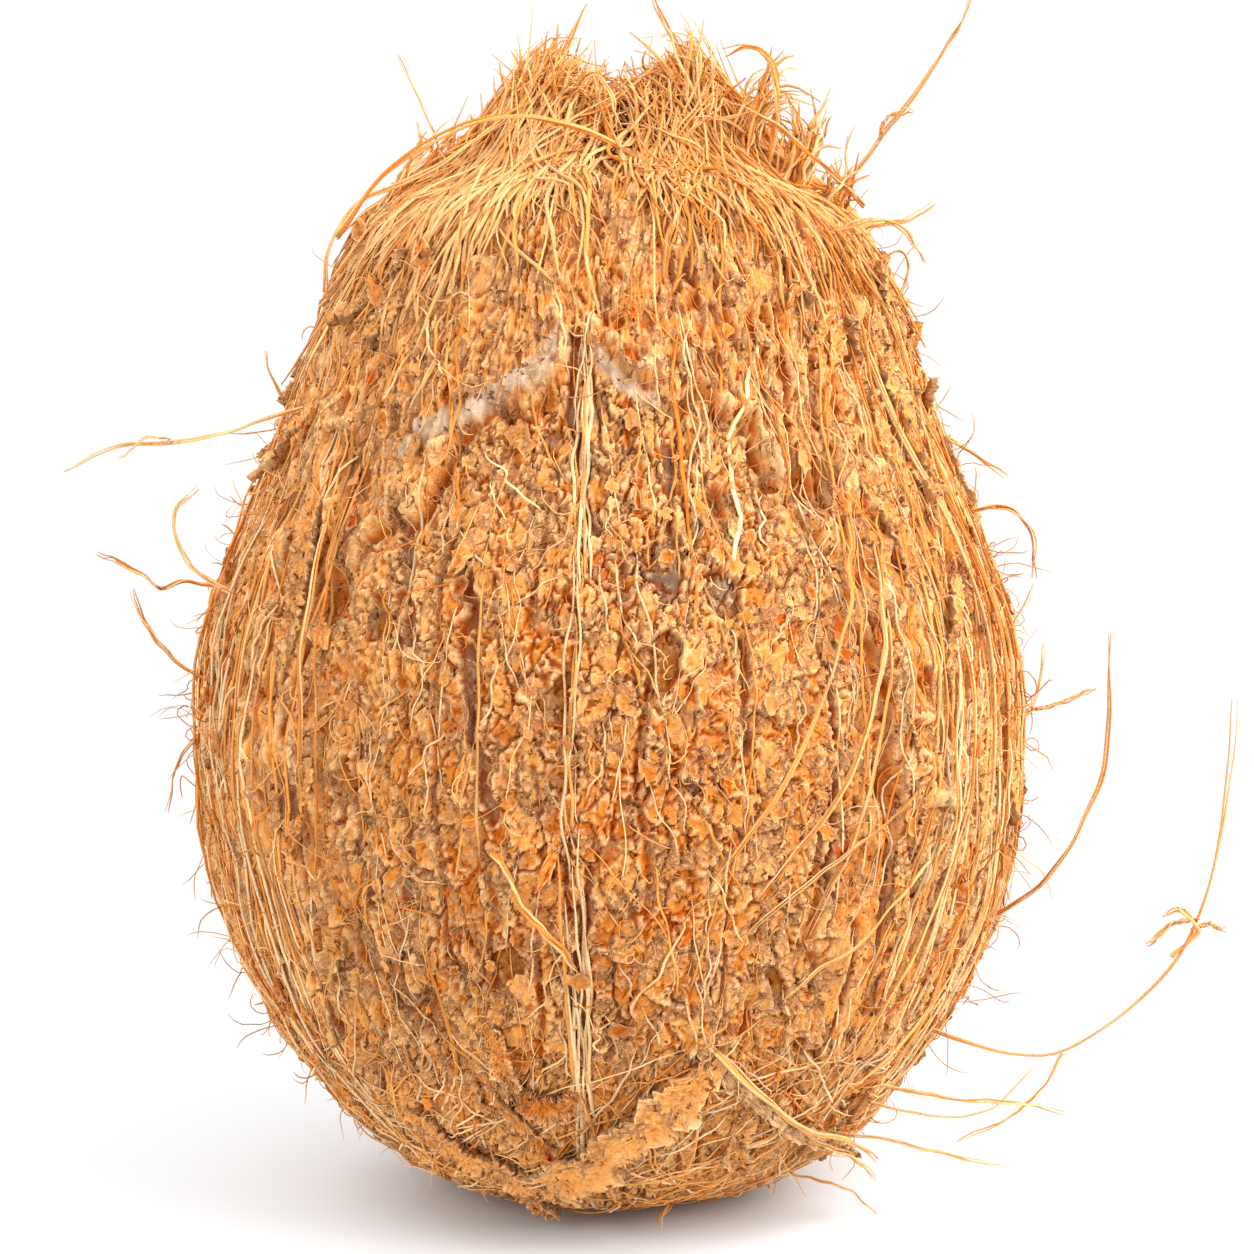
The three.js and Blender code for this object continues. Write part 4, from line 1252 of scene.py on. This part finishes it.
husk = husk_material("husk", rough=0.9, shine=0.03, crumbs=1.0, grain=0.6, mottle=0.1)
fibre = husk_material("fibre", rough=0.65, shine=0.1, crumbs=0.0, grain=0.5, mottle=0.1)

# Pieces

# Crust: name, first azimuth, width of a sector, how many, and columns in each
SECTORS = [("crust_front", -75, 30, 5, 128), ("crust_back", 75, 52.5, 4, 132)]
for name, first, width, count, columns in SECTORS:
    for k in range(count):
        sector = crust_sector(first + width * k, first + width * (k + 1), columns)
        mesh_piece(f"{name}_{k + 1}", [sector], husk)
large = flake_set(count=420, seed=41, sizes=(0.9, 1.9), on_panel=0.5, off_panel=0.6, lifts=(0.5, 1.1))
mesh_piece("flakes_large", [large], husk, rounded=False)
small = flake_set(count=1300, seed=43, sizes=(0.4, 1.0), on_panel=0.5, off_panel=0.7, lifts=(0.7, 1.4))
mesh_piece("flakes_small", [small], husk, rounded=False)
all_round = flank_strands(count=90, seed=51, longest=90, width=(0.3, 0.75))
at_right = flank_strands(count=70, seed=52, longest=100, width=(0.3, 0.65), centre=74, spread=26)
at_left = flank_strands(count=40, seed=54, longest=100, width=(0.3, 0.6), centre=-68, spread=20)
mesh_piece("strands_flank", [all_round, at_right, at_left], fibre)
short = flank_strands(count=620, seed=53, longest=34, width=(0.18, 0.45))
mesh_piece("strands_flank_short", [short], fibre)
mesh_piece("strands_foot", [foot_strands(count=620, seed=59)], fibre)
mesh_piece("strands_panel", [panel_fibres(count=430, seed=55), seam_strands(seed=57)], fibre)
mesh_piece("placed_fibres", [placed_fibres(seed=61)], fibre)
mesh_piece("torn_strips", [torn_strips(seed=63)], husk, rounded=False)
mesh_piece("husk_flaps", [husk_flaps(count=70, shaggy=90, seed=64)], husk, rounded=False)
hair = hairs(count=2200, seed=65, length=(3, 12), width=(0.1, 0.24), low=10, high=132)
mesh_piece("hairs", [hair], fibre)
left = combed(LEFT_PEAK, middle=-84, spread=86, rise=6, curl=1.2, count=1700, seed=71, colours=PALE_TUFT)
mesh_piece("tuft_left", [left], fibre)
right = combed(RIGHT_PEAK, middle=88, spread=84, rise=8, curl=1.8, count=1700, seed=73, colours=WARM_TUFT)
mesh_piece("tuft_right", [right], fibre)
mesh_piece("tuft_wisps", [wisps(each=32, seed=75, colours=WARM_TUFT)], fibre)


# White ground and light

FLOOR_HALF = 6.0
GROUND = (0.76, 0.79, 0.825, 1)
GROUND_END = 0.015
WHITE_START = 0.11
WHITE_GLOW = 1.02
LIGHT_AIM = (0, 0, 0.07)
# Soft lights: name, place, size, power and colour
LIGHTS = [
    ("key", (0.9, -0.4, 0.85), 1.1, 25, (1, 0.98, 0.96)),
    ("fill", (-0.7, -0.95, 0.3), 0.9, 5.5, (1, 0.99, 0.98)),
    ("left_top", (-0.7, 0.3, 1.0), 0.7, 5, (1, 0.98, 0.96)),
]
WORLD_STRENGTH = 1.03
# Camera: a long lens a little above level, placed so that the outline fits the photograph
CAMERA_LIFT = math.radians(7)
CAMERA_AWAY = 0.481
CAMERA_LENS = 100
CAMERA_SENSOR = 36
TARGET = (0.0023, 0.0, 0.0785)


def white_floor():
    """Pale ground that takes the shadow near the nut and is plain white further out."""
    mesh = bpy.data.meshes.new("floor")
    corners = [(FLOOR_HALF * x, FLOOR_HALF * y, 0) for x, y in ((-1, -1), (1, -1), (1, 1), (-1, 1))]
    mesh.from_pydata(corners, [], [(0, 1, 2, 3)])
    material = bpy.data.materials.new("white_ground")
    material.use_nodes = True
    tree = material.node_tree
    shader = tree.nodes["Principled BSDF"]
    feed(shader, {"Base Color": GROUND, "Specular IOR Level": 0.0, "Roughness": 0.9})
    place = add_node(tree, "TexCoord", {})["Object"]
    away = add_node(tree, "VectorMath", {0: place}, operation="LENGTH")["Value"]
    share = ramp(tree, away, GROUND_END, WHITE_START)
    plain = add_node(tree, "Emission", {"Strength": WHITE_GLOW})["Emission"]
    both = add_node(tree, "MixShader", {"Fac": share, 1: shader.outputs["BSDF"], 2: plain})["Shader"]
    feed(tree.nodes["Material Output"], {"Surface": both})
    mesh.materials.append(material)
    floor = bpy.data.objects.new("floor", mesh)
    bpy.context.scene.collection.objects.link(floor)
    return floor


def aimed(thing, place, target):
    """Sets a light or camera at a place, looking at a target."""
    thing.location = place
    thing.rotation_euler = (Vector(target) - Vector(place)).to_track_quat("-Z", "Y").to_euler()
    bpy.context.scene.collection.objects.link(thing)
    return thing


def area_light(name, place, size, power, colour):
    light = bpy.data.lights.new(name, "AREA")
    light.size = size
    light.energy = power
    light.color = colour
    return aimed(bpy.data.objects.new(name, light), place, LIGHT_AIM)


white_floor()
for light_row in LIGHTS:
    area_light(*light_row)

world = bpy.data.worlds.new("white")
world.use_nodes = True
feed(world.node_tree.nodes["Background"], {"Color": (1, 1, 1, 1), "Strength": WORLD_STRENGTH})
bpy.context.scene.world = world
bpy.context.scene.view_settings.view_transform = "Standard"

lens = bpy.data.cameras.new("camera")
lens.lens = CAMERA_LENS
lens.sensor_width = CAMERA_SENSOR
lens.clip_start = 0.01
level, rise = CAMERA_AWAY * math.cos(CAMERA_LIFT), CAMERA_AWAY * math.sin(CAMERA_LIFT)
eye = (TARGET[0], -level, TARGET[2] + rise)
bpy.context.scene.camera = aimed(bpy.data.objects.new("camera", lens), eye, TARGET)
